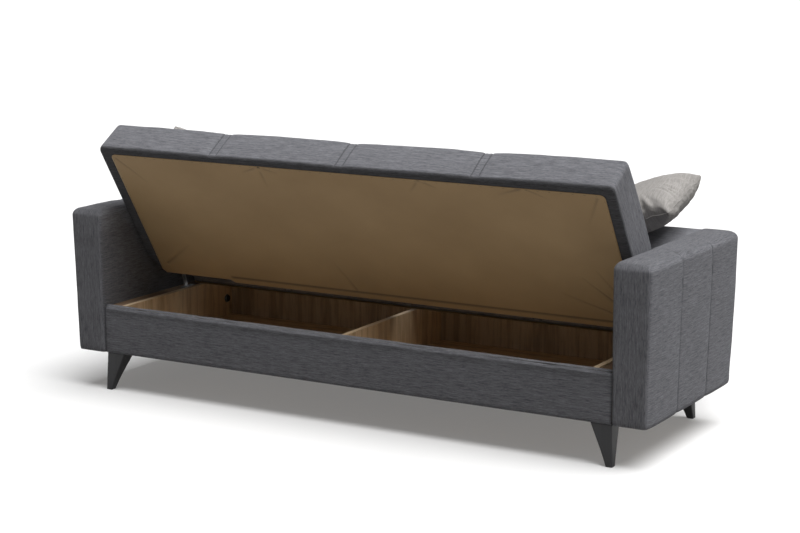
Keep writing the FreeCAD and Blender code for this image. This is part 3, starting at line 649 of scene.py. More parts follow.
def panel_push(rings, seed):
    """How far foam and needle push each point out of the plain outline."""
    p, n = panel, needle
    x, s, t = np.moveaxis(rings, -1, 0)
    free = soft_step(t, p["low"] + 0.004, p["low"] + 0.02)
    off_end = soft_step(p["half"] - np.abs(x), 0.004, 0.03)
    gap = seam_gap(x)
    row = np.abs(gap - p["rows"])
    groove = -n["groove"] * bell(row, n["groove_width"]) - n["dip"] * bell(gap, n["dip_width"])
    ripple = np.sin((s + t) * n["pucker_pitch"] + 4 * lumps(rings, 0.05, seed + 7))
    pucker = n["pucker"] * bell(gap, n["pucker_width"]) * (1 - bell(row, 0.003)) * ripple
    uneven = sum(height * lumps(rings * [1, squeeze, squeeze], size, seed + number)
                 for number, (height, size, squeeze) in enumerate(foam_lumps))
    bulge = belly["rise"] * bell(t - belly["middle"], belly["width"]) * soft_step(s, 0.5, 0.56)
    edge_roll = 0.0012 * lumps(rings * [1, 0.5, 0.5], 0.045, seed + 4)
    edge_roll = edge_roll * bell(t - p["low"] - 0.01, 0.02)
    return ((groove + pucker + uneven + bulge) * off_end + edge_roll) * free


def panel_rings(seed):
    """The cover of a panel, as rings round it from its left end to its right end."""
    p = panel
    xs = panel_stations()
    loop = panel_outlines(xs)
    along = np.broadcast_to(xs[:, None, None], loop.shape[:2] + (1,))
    rings = np.concatenate([along, loop], -1)
    x, s, t = np.moveaxis(rings, -1, 0)
    hem, hinge_hem, slope = 0.034, 0.012, 0.012
    inside = np.minimum(s - hinge_line(x) + hem - hinge_hem, p["front"] - s)
    inside = np.minimum(inside, p["half"] - np.abs(x) - 0.014)
    hollow = soft_step(inside, hem, hem + slope) * (t < p["low"] + 0.001)
    rings = rings + outward(rings) * panel_push(rings, seed)[..., None]
    rings[..., 2] += p["recess"] * hollow
    middle, gather, bulge = (p["low"] + p["top"]) / 2, 0.06, 0.0006
    ends = []
    for ring in (rings[0], rings[-1]):
        end_x = ring[0, 0]
        start = (end_x, ring[:, 1].min() + gather, middle)
        end = (end_x, ring[:, 1].max() - gather, middle)
        rise = (math.copysign(bulge, end_x), 0, 0)
        ends.append(np.array(closing(ring, start, end, 6, rise)))
    return np.concatenate([ends[0][::-1], rings, ends[1]])


# %% Seat and backrest covers
along_sofa = ((1, 2), (0, 2), (0, 1))
# Painted shade: the covers are darkened along the lower hem, where the cloth turns under, and along
# each stitched row, where the groove lies in shade. These sizes set how far it reaches and how dark
# the rows are.
hem_height, hem_fade, row_painted_shade, row_width = 0.014, 0.009, 0.85, 0.0022
covers, padding = {}, {}
for label, short in short_names.items():
    rings = covers[label] = panel_rings(panel_seeds[label])
    hem = soft_step(panel["low"] + hem_height - rings[..., 2], 0.0, hem_fade)
    rows = row_painted_shade * bell(seam_gap(rings[..., 0]) - panel["rows"], row_width)
    dark = np.maximum(hem, rows)
    piece = skin(short + "_padding", rings, stands[label], along_sofa, slate, shade=dark)
    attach(piece, label)
    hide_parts(short + "_cover", short + "_foam")
    padding[label] = piece

# %% [markdown]
# ## The linings
#
# A sheet of bonded cloth is stapled round the underside of each panel, inside the hem of the cover,
# which is darkened with painted shade. It is pulled by hand, so short creases run away from a few
# staples and folds fan out from one corner. The seat's sheet is turned under at its lower edge, a
# little past the padding. A fine grid, pressed in along short lines, shows all this, and painted
# shade darkens the creases and the fold line.

# %% Lining sheets with their creases
crease_spread = 1.25


def crease(x, s, start, end, width, depth):
    """A fold along a short line, deepest at its start."""
    a, b = np.array(start), np.array(end)
    line = b - a
    share = np.clip(((x - a[0]) * line[0] + (s - a[1]) * line[1]) / (line @ line), 0, 1)
    gap = np.hypot(x - a[0] - share * line[0], s - a[1] - share * line[1]) / crease_spread
    return depth * (1 - 0.85 * share) * (bell(gap, width) - 0.5 * bell(gap, width * 2.4))


# Start and end of each crease in a panel's own axes, its width and its depth.
lining_creases = (
    ((-0.308, 0.548), (-0.380, 0.520), 0.0040, 0.0075),
    ((-0.308, 0.548), (-0.240, 0.530), 0.0038, 0.0065),
    ((-0.308, 0.548), (-0.300, 0.470), 0.0050, 0.0045),
    ((0.286, 0.548), (0.246, 0.500), 0.0042, 0.0055),
    ((0.286, 0.548), (0.345, 0.526), 0.0038, 0.0055),
    ((0.640, 0.548), (0.560, 0.520), 0.0042, 0.0060),
    ((0.660, 0.548), (0.730, 0.515), 0.0036, 0.0045),
    ((0.895, 0.070), (0.765, 0.205), 0.0050, 0.0070),
    ((0.898, 0.100), (0.820, 0.240), 0.0045, 0.0055),
    ((0.870, 0.050), (0.680, 0.130), 0.0055, 0.0050),
    ((-0.100, 0.040), (-0.150, 0.150), 0.0060, 0.0030),
    ((-0.870, 0.062), (-0.740, 0.160), 0.0055, 0.0045),
    ((-0.890, 0.535), (-0.800, 0.440), 0.0050, 0.0040),
    ((0.890, 0.535), (0.840, 0.430), 0.0050, 0.0040),
)
# The sheet is shifted to one side, because its two end hems differ. It reaches from near, past the
# hinge edge, to far, and lies sunk below the hem. Its far corners are round, and a fold runs beside
# its lower edge.
lining = {
    "half": 0.912, "shift": 0.006, "near": 0.002, "far": 0.552, "sunk": 0.0011, "round": 0.018,
    "fold": 0.014, "fold_step": 0.0012, "thick": 0.0007,
}
flaps = {"seat": 0.012, "backrest": 0.0}    # how far the lower edge runs on past the hinge edge
flap_from, flap_to, flap_ease = -0.62, 0.86, 0.02


def lining_grid(seed, flap_length):
    """The underside from the front hem to past the hinge edge, and its painted shade."""
    c, r = lining, lining["round"]
    along = np.linspace(-c["half"], c["half"], 360)[:, None]
    xs = c["shift"] + along
    line = hinge_line(xs)
    flap = soft_step(xs - flap_from, 0.0, flap_ease) * soft_step(flap_to - xs, 0.0, flap_ease)
    flap = flap_length * flap
    s = c["far"] + (line + c["near"] - flap - c["far"]) * np.linspace(0, 1, 130)
    past = np.clip(s - (c["far"] - r), 0, r)
    x = xs - along * (r - np.sqrt(r * r - past ** 2)) / c["half"]
    edge = np.minimum(np.minimum(s - line, c["far"] - s), c["half"] - np.abs(x - c["shift"]))
    slack = soft_step(edge, 0.016, 0.06)
    points = np.stack([x, s, 0 * s], -1)
    lift = 0.0014 + 0.0010 * lumps(points, 0.24, seed) + 0.0006 * lumps(points, 0.08, seed + 1)
    folds = sum(crease(x, s, *given) for given in lining_creases)
    lift = np.clip(lift * slack + folds * soft_step(edge, 0.0, 0.012), -0.0001, 0.0070)
    step = c["fold_step"] * soft_step(line + c["fold"] - s, 0, 0.004)
    # Painted shade: the creases and the fold line beside the lower edge are darkened in colour, as
    # shade lies in them.
    turned = bell(s - line - c["fold"], 0.0040) * soft_step(flap, 0.0, 0.01)
    dark = np.clip(folds / 0.0040, 0, 1) * 0.9 + turned
    t = panel["low"] - c["sunk"] + lift - step
    return np.stack([x, s, t], -1), np.clip(dark, 0, 1)


def sheet_piece(name, grid, stand, material, thickness, shade=None):
    """A thin sheet with a real thickness."""
    piece = skin(name, grid, stand, along_sofa, material, False, shade)
    solid = piece.modifiers.new("thickness", "SOLIDIFY")
    solid.thickness, solid.offset = thickness, 0
    return piece


length, drop = 2 * lining["half"], lining["far"] - lining["near"] - panel["hinge"]
for label, seed in (("seat", 31), ("backrest", 47)):
    short, flap_length = short_names[label], flaps[label]
    grid, fold = lining_grid(seed, flap_length)
    piece = sheet_piece(short + "_lining_sheet", grid, stands[label], tan, lining["thick"], fold)
    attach(piece, label)
    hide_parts(short + "_lining")
    flat = (round(length, 4), round(drop + flap_length, 4))

# %% [markdown]
# ## The arms
#
# An arm is a timber box with thin foam. One strip of cloth runs up its front, over its top and
# down its back, and a panel of cloth closes each side, so the streaks stand upright in front and
# lie level at the sides. Two sewn lines divide the outer side. The arm widens a little upward,
# where the padding is.

# %% Rings of one arm
arm_needle = {
    "groove": 0.0042, "groove_width": 0.0026, "dip": 0.0034, "dip_width": 0.03,
    "pucker": 0.0005, "pucker_width": 0.022, "pucker_pitch": 240,
}
arm_lumps = ((0.0018, 0.14), (0.0009, 0.055))
arm_swell = (0, 0.03, 0.35, 0.7, 1), (0.34, 0.38, 0.62, 0.87, 1)    # at shares of its height
hem_inset, hem_groove, top_crown = 0.0015, 0.001, 0.0045
top_turns = 9                       # rings that turn over the top edge


def arm_ring(z, swell, inset, inner_inset, end_inset, groove):
    """One level of the arm, as points anticlockwise from the inner front corner."""
    a, r = arm, arm["corner"]
    inner = half_gap + inner_inset
    outer = half_gap + a["width"] + a["side"] * swell - inset
    seam = outer - a["puff"]
    front, rear = end_inset - a["end"] * swell, a["depth"] + a["rear"] * swell - end_inset
    marks = [front + (rear - front) * share for share in a["seams"]]
    stops = [front + r] + marks + [rear - r]

    def straight(x0, y0, x1, y1, count):
        u = shares(count)
        return np.stack([x0 + (x1 - x0) * u, y0 + (y1 - y0) * u], 1)

    def corner(cx, cy, first):
        angle = math.radians(first) + shares(6) * math.pi / 2
        return np.stack([cx + r * np.cos(angle), cy + r * np.sin(angle)], 1)

    def channel(near, far):
        u = (1 - np.cos(shares(22) * math.pi)) / 2
        y = near + (far - near) * u
        x = seam + a["puff"] * (1 - (2 * u - 1) ** 4)
        sewn = sum(bell(y - mark, arm_needle["groove_width"]) for mark in marks)
        return np.stack([x - groove * sewn, y], 1)

    ring = np.concatenate([
        corner(inner + r, front + r, 180),
        straight(inner + r, front, seam - r, front, 12),
        corner(seam - r, front + r, 270),
        *(channel(*ends) for ends in zip(stops, stops[1:])),
        corner(seam - r, rear - r, 0),
        straight(seam - r, rear, inner + r, rear, 12),
        corner(inner + r, rear - r, 90),
        straight(inner, rear - r, inner, front + r, 44),
    ])
    return np.concatenate([ring, np.full((len(ring), 1), z)], 1)


def arm_push(rings, seed):
    """How far foam and needle push each point of an arm out."""
    a, n = arm, arm_needle
    x, y, z = np.moveaxis(rings, -1, 0)
    held = soft_step(z, a["low"], a["low"] + 0.05)
    outer = soft_step(x, half_gap + 0.02, half_gap + 0.05)
    broad = sum(height * lumps(rings, size, seed + number)
                for number, (height, size) in enumerate(arm_lumps))
    seams = [-a["end"] + (a["depth"] + a["end"] + a["rear"]) * share for share in a["seams"]]
    ripple = np.sin(z * n["pucker_pitch"] + 3 * lumps(rings, 0.06, seed + 2))
    pucker = n["pucker"] * sum(bell(y - seam, n["pucker_width"]) for seam in seams) * ripple
    near_top = soft_step(z, a["height"] - 0.05, a["height"] - 0.002)
    dip = n["dip"] * sum(bell(y - seam, n["dip_width"]) for seam in seams) * near_top
    push = (broad + pucker - dip) * held * (0.25 + 0.75 * outer)
    return np.where(x < half_gap + 0.004, np.minimum(push, 0.0004), push)


def arm_rings(seed):
    """The cover of an arm, as level rings from its underside to its top."""
    a = arm
    body_top = a["height"] - a["top_round"]
    hem = (arm_swell[1][0], hem_inset, hem_inset, hem_inset, hem_groove)
    rings = [arm_ring(a["low"] + 0.0002, *hem)]
    for z in np.linspace(a["low"], body_top, 44)[1:]:
        swell = np.interp((z - a["low"]) / (body_top - a["low"]), *arm_swell)
        rings.append(arm_ring(z, swell, 0.0, 0.0, 0.0, arm_needle["groove"]))
    for turn in np.radians(np.linspace(0, 90, top_turns + 1))[1:]:
        inset = a["top_round"] * (1 - math.cos(turn))
        late = 1 - math.cos(turn) ** 1.6
        z = body_top + a["top_round"] * math.sin(turn)
        groove = arm_needle["groove"] * max(0.0, math.cos(turn)) ** 0.5
        rings.append(arm_ring(z, 1, inset, a["inner_round"] * late, a["end_round"] * late, groove))
    rings = np.array(rings)
    rings = rings + outward(rings) * arm_push(rings, seed)[..., None]

    def closed(ring, steps, rise=(0, 0, 0)):
        middle, gather, level = half_gap + a["width"] / 2, 0.05, ring[:, 2].mean()
        start, end = (middle, gather, level), (middle, a["depth"] - gather, level)
        return np.array(closing(ring, start, end, steps, rise))

    base, cap = closed(rings[0], 3), closed(rings[-1], 7, (0, 0, top_crown))
    return np.concatenate([base[::-1], rings, cap])


def arm_painted_shade(rings):
    """Painted shade: darker on top, on the inner side below the top and along the outer seams."""
    a = arm
    x, y, z = np.moveaxis(rings, -1, 0)
    front, rear = y.min(1, keepdims=True), y.max(1, keepdims=True)
    top = soft_step(z, a["height"] - 0.016, a["height"] - 0.003)
    inner = soft_step(half_gap + 0.006 - x, 0.0, 0.004) * soft_step(0.585 - z, 0.0, 0.04)
    seam = sum(bell(y - front - (rear - front) * share, 0.0020) for share in a["seams"])
    return np.clip(0.46 * top + 0.58 * inner + 0.6 * seam * (x > half_gap + 0.06), 0, 1)


# %% Both arms, from one set of rings each
side_panels = ((1, 2), (2, 0), (1, 0))
arms = {label: arm_rings(seed) for label, seed in arm_seeds.items()}
for label, rings in arms.items():
    name = "arm_upholstery_" + label
    piece = skin(name, rings, stands[label], side_panels, slate, shade=arm_painted_shade(rings))
    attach(piece, "base")
    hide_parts("arm_cover_" + label, "arm_foam_" + label)

# %% [markdown]
# ## The rails
#
# The front and rear boards of the box are wrapped in the same cloth over a thin wadding. It is
# drawn over the top edge, where it looks a little wavy and catches the light, and folded under the
# bottom.

# %% Cloth round the rail boards
rail = {"low": arm["low"], "top": 0.299, "back": 0.021, "thick": 0.003, "roll": 0.014}
rail_clearance = 0.0003             # from the cloth's ends to the arms
rail_roll = {"rise": 0.0030, "below_top": 0.012, "width": 0.009}


def rail_rings(seed):
    """The cloth round a rail as rings along it, each with its outer side first."""
    low, top, back, thick, r = (rail[key] for key in ("low", "top", "back", "thick", "roll"))
    outer = [(back, low)] + [(y, low) for y in np.linspace(0.016, 0.004, 4)] + [(0.0, low + 0.004)]
    outer += [(0.0, z) for z in np.linspace(low + 0.012, top - r, 22)]
    turns = np.radians(np.linspace(9, 90, 10))
    outer += [(r - r * math.cos(turn), top - r + r * math.sin(turn)) for turn in turns]
    outer += [(y, top) for y in np.linspace(r + 0.002, back, 3)]
    inner = [(back, top - thick), (thick, top - thick)]
    inner += [(thick, z) for z in np.linspace(top - 0.02, low + 0.02, 6)]
    inner += [(thick, low + 0.0015), (back, low + 0.0015)]
    loop = np.array(outer + inner)
    end = half_gap - rail_clearance
    xs = np.linspace(-end, end, 230)
    rings = np.concatenate([np.broadcast_to(xs[:, None, None], (xs.size, len(loop), 1)),
                            np.broadcast_to(loop, (xs.size, *loop.shape))], -1)
    x, y, z = np.moveaxis(rings, -1, 0)
    outside = np.arange(len(loop)) < len(outer)
    from_arm = half_gap - np.abs(x)
    front = outside * soft_step(from_arm, 0.0, 0.03)
    belly = 0.0014 * lumps(rings, 0.12, seed + 1)
    belly = belly + 0.0010 * np.sin((z - low) / (top - low) * math.pi)
    roll = rail_roll["rise"] * bell(z - (top - rail_roll["below_top"]), rail_roll["width"])
    roll = roll * (1 + 0.6 * lumps(rings * [1, 0, 0], 0.05, seed + 3))
    wave = 0.0016 * lumps(rings * [1, 0.2, 0.2], 0.062, seed) * bell(z - top, 0.02)
    curl = (outside & (loop[:, 0] < thick)) * 0.0022 * bell(from_arm, 0.005)
    y_out = y - front * (np.maximum(belly, 0) + roll) * (y < r - 0.001) + curl
    z_out = z + front * np.clip(wave, -0.0018, 0.0) * (z > top - 0.016)
    return np.stack([x, y_out, z_out], -1)


def stand_rear_rail(points):
    """The same at the rear, facing the other way."""
    return stand_arm(points * np.array([1, -1, 1]) + np.array([0, arm["depth"], 0]))


for label, seed, stand in (("front", 83, stand_arm), ("rear", 89, stand_rear_rail)):
    rings = rail_rings(seed)
    ends = []
    for ring in (rings[0], rings[-1]):
        x, middle = ring[0, 0], rail["thick"] / 2
        ends.append(np.array(closing(ring, (x, middle, 0.15), (x, middle, 0.29), 1)))
    rings = np.concatenate([ends[0], rings, ends[1]])
    # Painted shade: the cloth is darkened at each end, in the narrow gap against the arm.
    gap_painted_shade = 0.95 * bell(half_gap - np.abs(rings[..., 0]), 0.0050)
    piece = skin(label + "_rail_cloth", rings, stand, along_sofa, slate, shade=gap_painted_shade)
    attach(piece, "base")
    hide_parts(label + "_rail_cover")

# %% [markdown]
# ## The strip on the rear board
#
# Inside the box a narrow strip of the lining cloth is stapled under the top of the rear board, one
# length on each side of the divider.

# %% Lining strip
low_corner, high_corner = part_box("rear_rail_lining")
strip_y = (low_corner.y + high_corner.y) / 2
strip_thick, strip_drop, half_divider, strip_painted_shade = 0.0006, 0.029, 0.009, 0.85


def strip_grid(x0, x1, seed):
    """A strip that is held along its top edge and lifts off the board below it."""
    xs, zs = np.linspace(x0, x1, 90), np.linspace(low_corner.z, high_corner.z, 9)
    x, z = np.meshgrid(xs, zs, indexing="ij")
    points = np.stack([x, np.full_like(x, strip_y), z], -1)
    lift = soft_step(high_corner.z - z, 0.004, 0.02)
    points[..., 1] -= lift * (0.0006 + 0.0009 * lumps(points, 0.05, seed))
    return points


def in_place(points):
    """For what is drawn where it stands."""
    return points


for label, side in (("right", 1), ("left", -1)):
    ends = sorted((side * half_divider, side * high_corner.x))
    grid = strip_grid(*ends, 97 + side)
    # Painted shade: the whole strip is darkened, as it lies in shade under the fold of the panels.
    dark = np.full(grid.shape[:2], strip_painted_shade)
    piece = sheet_piece("rear_strip_" + label, grid, in_place, tan, strip_thick, dark)
    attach(piece, "base")
    flat = (round(ends[1] - ends[0], 3), strip_drop)
    if side > 0:
        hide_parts("rear_rail_lining")

# %% [markdown]
# ## The legs
#
# Each leg is one block of beech, stained black. It tapers on all sides to a small foot and splays
# a little toward the corner. Small eased edges catch a thin line of light, so the corners are
# rounded.

# %% Tapered legs
# Outer, inner, front and rear faces of a right front leg, at its top and at its foot.
leg_top = np.array([0.950, 0.878, 0.007, 0.069])
leg_foot = np.array([0.956, 0.933, 0.003, 0.026])
leg_edge, leg_hollow, foot_edge, foot_nip = 0.004, 0.06, 0.002, 0.0018


def leg_rings():
    """Level rings from the foot to the top, with eased corners."""
    rings = []
    for z in np.concatenate([[0.0, 0.0008, foot_edge], np.linspace(0.004, arm["low"], 24)]):
        up = z / arm["low"]
        curve = leg_hollow * math.sin(math.pi * up) * (up - 1)
        x1, x0, y0, y1 = leg_foot + (leg_top - leg_foot) * (up + curve)
        radius = leg_edge - foot_nip * max(0.0, 1 - z / foot_edge) ** 2
        left, right, near, far = x0 + leg_edge, x1 - leg_edge, y0 + leg_edge, y1 - leg_edge
        corners = ((left, near, 180), (right, near, 270), (right, far, 0), (left, far, 90))
        rings.append([(x + radius * math.cos(angle), y + radius * math.sin(angle), z)
                      for x, y, first in corners
                      for angle in np.radians(first + np.linspace(0, 90, 6))])
    rings = np.array(rings)
    foot, top = (closing(ring, ring.mean(0), ring.mean(0), 1) for ring in (rings[0], rings[-1]))
    return np.concatenate([foot, rings, top])


for face, right in (("front", stand_arm), ("rear", stand_rear_rail)):
    for label, stand in (("right", right), ("left", mirrored(right))):
        place = face + "_" + label
        piece = skin("leg_block_" + place, leg_rings(), stand, side_panels, black_wood)
        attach(piece, "base")
        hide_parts("leg_" + place)

# %% [markdown]
# ## Scatter cushions
#
# A scatter cushion is two squares of cloth sewn edge to edge round a soft filling. The filling
# pushes the cloth out, the seam holds it in, and folds run in from the corners. Cloth simulation
# does just that: the solid is remeshed, blown up from inside against its own stretch, and then
# held near its start. A welt is laid along the seam afterwards, because remeshing would lose it.

# %% Blow up a cushion
cushion = {
    "voxel": 0.0055, "reach": 0.012, "frames": 20, "started": np.array([0.985, 0.985, 0.90]),
    "grown": np.array([1.035, 1.035, 0.96]), "folds": 26, "fan": 0.0052, "broad": 0.0036,
}
cushion_stuff = {
    "quality": 6, "mass": 0.25, "tension_stiffness": 18, "compression_stiffness": 18,
    "bending_stiffness": 0.35, "use_pressure": True, "uniform_pressure_force": 4,
}


def remeshed(node, name, voxel):
    """A merged, evenly meshed copy of a solid."""
    mesh = nodes[node].data.copy()
    mesh.name = name
    piece = bpy.data.objects.new(name, mesh)
    bpy.context.scene.collection.objects.link(piece)
    work = bmesh.new()
    work.from_mesh(mesh)
    bmesh.ops.remove_doubles(work, verts=work.verts, dist=10 * same_place)
    work.to_mesh(mesh)
    work.free()
    remesh = piece.modifiers.new("even", "REMESH")
    remesh.mode, remesh.voxel_size = "VOXEL", voxel
    return plain(piece)


def plain(piece):
    """The same object with its modifiers applied."""
    bpy.context.view_layer.update()
    evaluated = piece.evaluated_get(bpy.context.evaluated_depsgraph_get())
    mesh = bpy.data.meshes.new_from_object(evaluated)
    piece.modifiers.clear()
    piece.data = mesh
    mesh.name = piece.name
    return piece


def coordinates(mesh):
    """Its points as rows of three."""
    flat = np.empty(len(mesh.vertices) * 3, np.float32)
    mesh.vertices.foreach_get("co", flat)
    return flat.reshape(-1, 3).astype(float)


def own_axes(points):
    """Middle and axes of a flat form: the last axis goes through its thickness."""
    middle = points.mean(0)
    vectors = np.linalg.eigh(np.cov((points - middle).T))[1]
    thin = vectors[:, 0]
    best = None
    for angle in np.radians(np.arange(0, 90, 0.5)):
        a = math.cos(angle) * vectors[:, 1] + math.sin(angle) * vectors[:, 2]
        b = np.cross(thin, a)
        span = np.ptp((points - middle) @ a) + np.ptp((points - middle) @ b)
        if best is None or span < best[0]:
            best = (span, a, b)
    return middle, np.stack([best[1], best[2], thin])


def put_points(mesh, points):
    """Move the points of a mesh."""
    mesh.vertices.foreach_set("co", points.astype(np.float32).ravel())


def blown_up(node, name):
    """A remeshed cushion, and its points in its own axes after the filling has pushed them out."""
    piece = remeshed(node, name, cushion["voxel"])
    middle, axes = own_axes(coordinates(nodes[node].data))
    local = (coordinates(piece.data) - middle) @ axes.T
    put_points(piece.data, local * cushion["started"] @ axes + middle)
    settings = piece.modifiers.new("cloth", "CLOTH").settings
    for key, value in cushion_stuff.items():
        setattr(settings, key, value)
    settings.effector_weights.gravity = 0
    for number in range(cushion["frames"]):
        bpy.context.scene.frame_set(1 + number)
    plain(piece)
    bpy.context.scene.frame_set(1)
    shift = (coordinates(piece.data) - middle) @ axes.T - local
    length = np.linalg.norm(shift, axis=1, keepdims=True)
    local = local + shift * np.minimum(1, cushion["reach"] / np.maximum(length, 1e-9))
    return piece, local, middle, axes


def cushion_folds(local, seed):
    """Folds that run in from the corners and off the seam, on the blown-up form."""
    half = np.abs(local[:, :2]).max(0)
    u, v = local[:, 0] / half[0], local[:, 1] / half[1]
    side = np.sign(local[:, 2])
    rim = np.maximum(np.abs(u), np.abs(v))
    angle = np.arctan2(v, u)
    plane = np.stack([np.cos(angle) * 1.2, np.sin(angle) * 1.2, side * 3], 1)
    fan = np.sin(angle * cushion["folds"] + 5 * lumps(plane, 0.5, seed))
    fan = fan * (0.5 + 0.5 * lumps(plane, 0.35, seed + 1))
    near_rim = soft_step(rim, 0.45, 0.85) * (1 - soft_step(rim, 0.93, 1.0))
    broad = lumps(local, 0.07, seed + 2) * (1 - soft_step(rim, 0.85, 1.0))
    return side * (cushion["fan"] * fan * near_rim + cushion["broad"] * broad)


cushions = {}
for label, body, seed in (("right", "backrest", 5), ("left", "base", 11)):
    node = "scatter_cushion_" + label
    piece, local, middle, axes = blown_up(node, "cushion_" + label)
    local[:, 2] += cushion_folds(local, seed)
    put_points(piece.data, local * cushion["grown"] @ axes + middle)
    smooth = piece.modifiers.new("smooth", "SUBSURF")
    smooth.levels = smooth.render_levels = 1
    plain(piece)
    final = (coordinates(piece.data) - middle) @ axes.T
    layer = piece.data.uv_layers.new(name="cloth")
    index = np.empty(len(piece.data.loops), np.int32)
    piece.data.loops.foreach_get("vertex_index", index)
    layer.data.foreach_set("uv", final[index][:, :2].astype(np.float32).ravel())
    piece.data.materials.clear()
    piece.data.materials.append(cushion_cloth)
    piece.data.shade_smooth()
    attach(piece, body)
    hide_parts(node)
    cushions[label] = (body, final, middle, axes)
    size = [round(float(v), 3) for v in np.ptp(final, axis=0)]
    print(piece.name, len(piece.data.polygons), "faces", size)

# %% [markdown]
# ## The welt round each cushion
#
# The two squares meet in a knife edge: a thin ridge of turned-in cloth all the way round. It is
# read off the finished cushion, as the furthest point in each direction, and made as a slender
# rounded tube.

# %% Seam ridges
welt_radius, welt_sides, welt_steps, rim_height = 0.0016, 10, 240, 0.012


def tube(name, path, radius, sides, material):
    """A closed tube along a loop of points."""
    path = np.asarray(path)
    along = np.roll(path, -1, 0) - np.roll(path, 1, 0)
    along /= np.linalg.norm(along, axis=1, keepdims=True)
    up = np.cross(along, path - path.mean(0))
    up /= np.linalg.norm(up, axis=1, keepdims=True)
    out = np.cross(up, along)
    turns = np.arange(sides) * 2 * math.pi / sides
    rings = np.stack([path + radius * (math.cos(a) * out + math.sin(a) * up) for a in turns], 1)
    rings = np.concatenate([rings, rings[:1]])
    steps = np.linalg.norm(np.diff(rings[:, 0], axis=0), axis=1)
    length = np.concatenate([[0], np.cumsum(steps)])
    faces = grid_faces(len(rings), sides, True)
    rows, cols = faces // sides, faces % sides
    uv = np.stack([length[rows], cols / sides * 2 * math.pi * radius], -1)
    return finish_mesh(name, rings.reshape(-1, 3), faces, uv, material)


def rim_path(final):
    """The furthest point of a cushion in each direction, smoothed and drawn to its middle plane."""
    rim = final[np.abs(final[:, 2]) < rim_height]
    angle = np.arctan2(rim[:, 1], rim[:, 0])
    reach = np.hypot(rim[:, 0], rim[:, 1])
    place = ((angle + math.pi) / (2 * math.pi) * welt_steps).astype(int) % welt_steps
    found = [np.flatnonzero(place == step) for step in range(welt_steps)]
    path = np.array([rim[inside[np.argmax(reach[inside])]] for inside in found if len(inside)])
    for _ in range(2):
        path = 0.5 * path + 0.25 * (np.roll(path, 1, 0) + np.roll(path, -1, 0))
    path[:, 2] *= 0.5
    return path


for label, (body, final, middle, axes) in cushions.items():
    path = rim_path(final) @ axes + middle
    piece = tube("cushion_seam_" + label, path, welt_radius, welt_sides, cushion_cloth)
    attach(piece, body)

# %% [markdown]
# ## Stitches and staples
#
# The same small shape repeats thousands of times along seams and hems, so Geometry Nodes place it:
# a guide line becomes a curve, the curve is measured off at an even pitch, and one bead of thread
# or one staple stands at each mark, turned along the line. The guides carry an attribute that says
# which way is out of the cloth.

# %% A tree that sets beads along a guide


def bead_tree():
    """The tree, and the identifier of each of its inputs."""
    tree = bpy.data.node_groups.new("beads_along_guide", "GeometryNodeTree")
    face = tree.interface
    face.new_socket("Geometry", in_out="INPUT", socket_type="NodeSocketGeometry")
    sizes = {}
    for name in ("Pitch", "Length", "Width", "Height"):
        socket = face.new_socket(name, in_out="INPUT", socket_type="NodeSocketFloat")
        sizes[name] = socket.identifier
    stuff = face.new_socket("Material", in_out="INPUT", socket_type="NodeSocketMaterial")
    sizes["Material"] = stuff.identifier
    face.new_socket("Geometry", in_out="OUTPUT", socket_type="NodeSocketGeometry")

    def add(kind, settings=None, links=None, values=None):
        made = tree.nodes.new(kind)
        for key, value in (settings or {}).items():
            setattr(made, key, value)
        for key, value in (values or {}).items():
            made.inputs[key].default_value = value
        for key, source in (links or {}).items():
            tree.links.new(source, made.inputs[key])
        return made

    given = add("NodeGroupInput").outputs
    curve = add("GeometryNodeMeshToCurve", links={"Mesh": given["Geometry"]})
    marks = add("GeometryNodeResampleCurve", {"mode": "LENGTH"},
                {"Curve": curve.outputs[0], "Length": given["Pitch"]})
    ball = add("GeometryNodeMeshUVSphere", values={"Segments": 6, "Rings": 4, "Radius": 0.5})
    size = add("ShaderNodeCombineXYZ",
               links={0: given["Length"], 1: given["Width"], 2: given["Height"]})
    bead = add("GeometryNodeTransform",
               links={"Geometry": ball.outputs[0], "Scale": size.outputs[0]})
    out = add("GeometryNodeInputNamedAttribute", {"data_type": "FLOAT_VECTOR"},
              values={"Name": "out"})
    tangent = add("GeometryNodeInputTangent")
    stand = add("FunctionNodeAlignRotationToVector", {"axis": "Z"}, {"Vector": out.outputs[0]})
    aim = add("FunctionNodeAlignRotationToVector", {"axis": "X", "pivot_axis": "Z"},
              {"Rotation": stand.outputs[0], "Vector": tangent.outputs[0]})
    placed = add("GeometryNodeInstanceOnPoints", links={
        "Points": marks.outputs[0], "Instance": bead.outputs[0], "Rotation": aim.outputs[0]})
    real = add("GeometryNodeRealizeInstances", links={0: placed.outputs[0]})
    painted = add("GeometryNodeSetMaterial",
                  links={"Geometry": real.outputs[0], "Material": given["Material"]})
    result = add("NodeGroupOutput")
    tree.links.new(painted.outputs[0], result.inputs[0])
    return tree, sizes


beads, bead_sizes = bead_tree()
stitch = {"Pitch": 0.0066, "Length": 0.0050, "Width": 0.0016, "Height": 0.0011}
staple = {"Pitch": 0.038, "Length": 0.0095, "Width": 0.0010, "Height": 0.0007}
thread_rise = 0.0003                # the thread stands this far out of the cloth


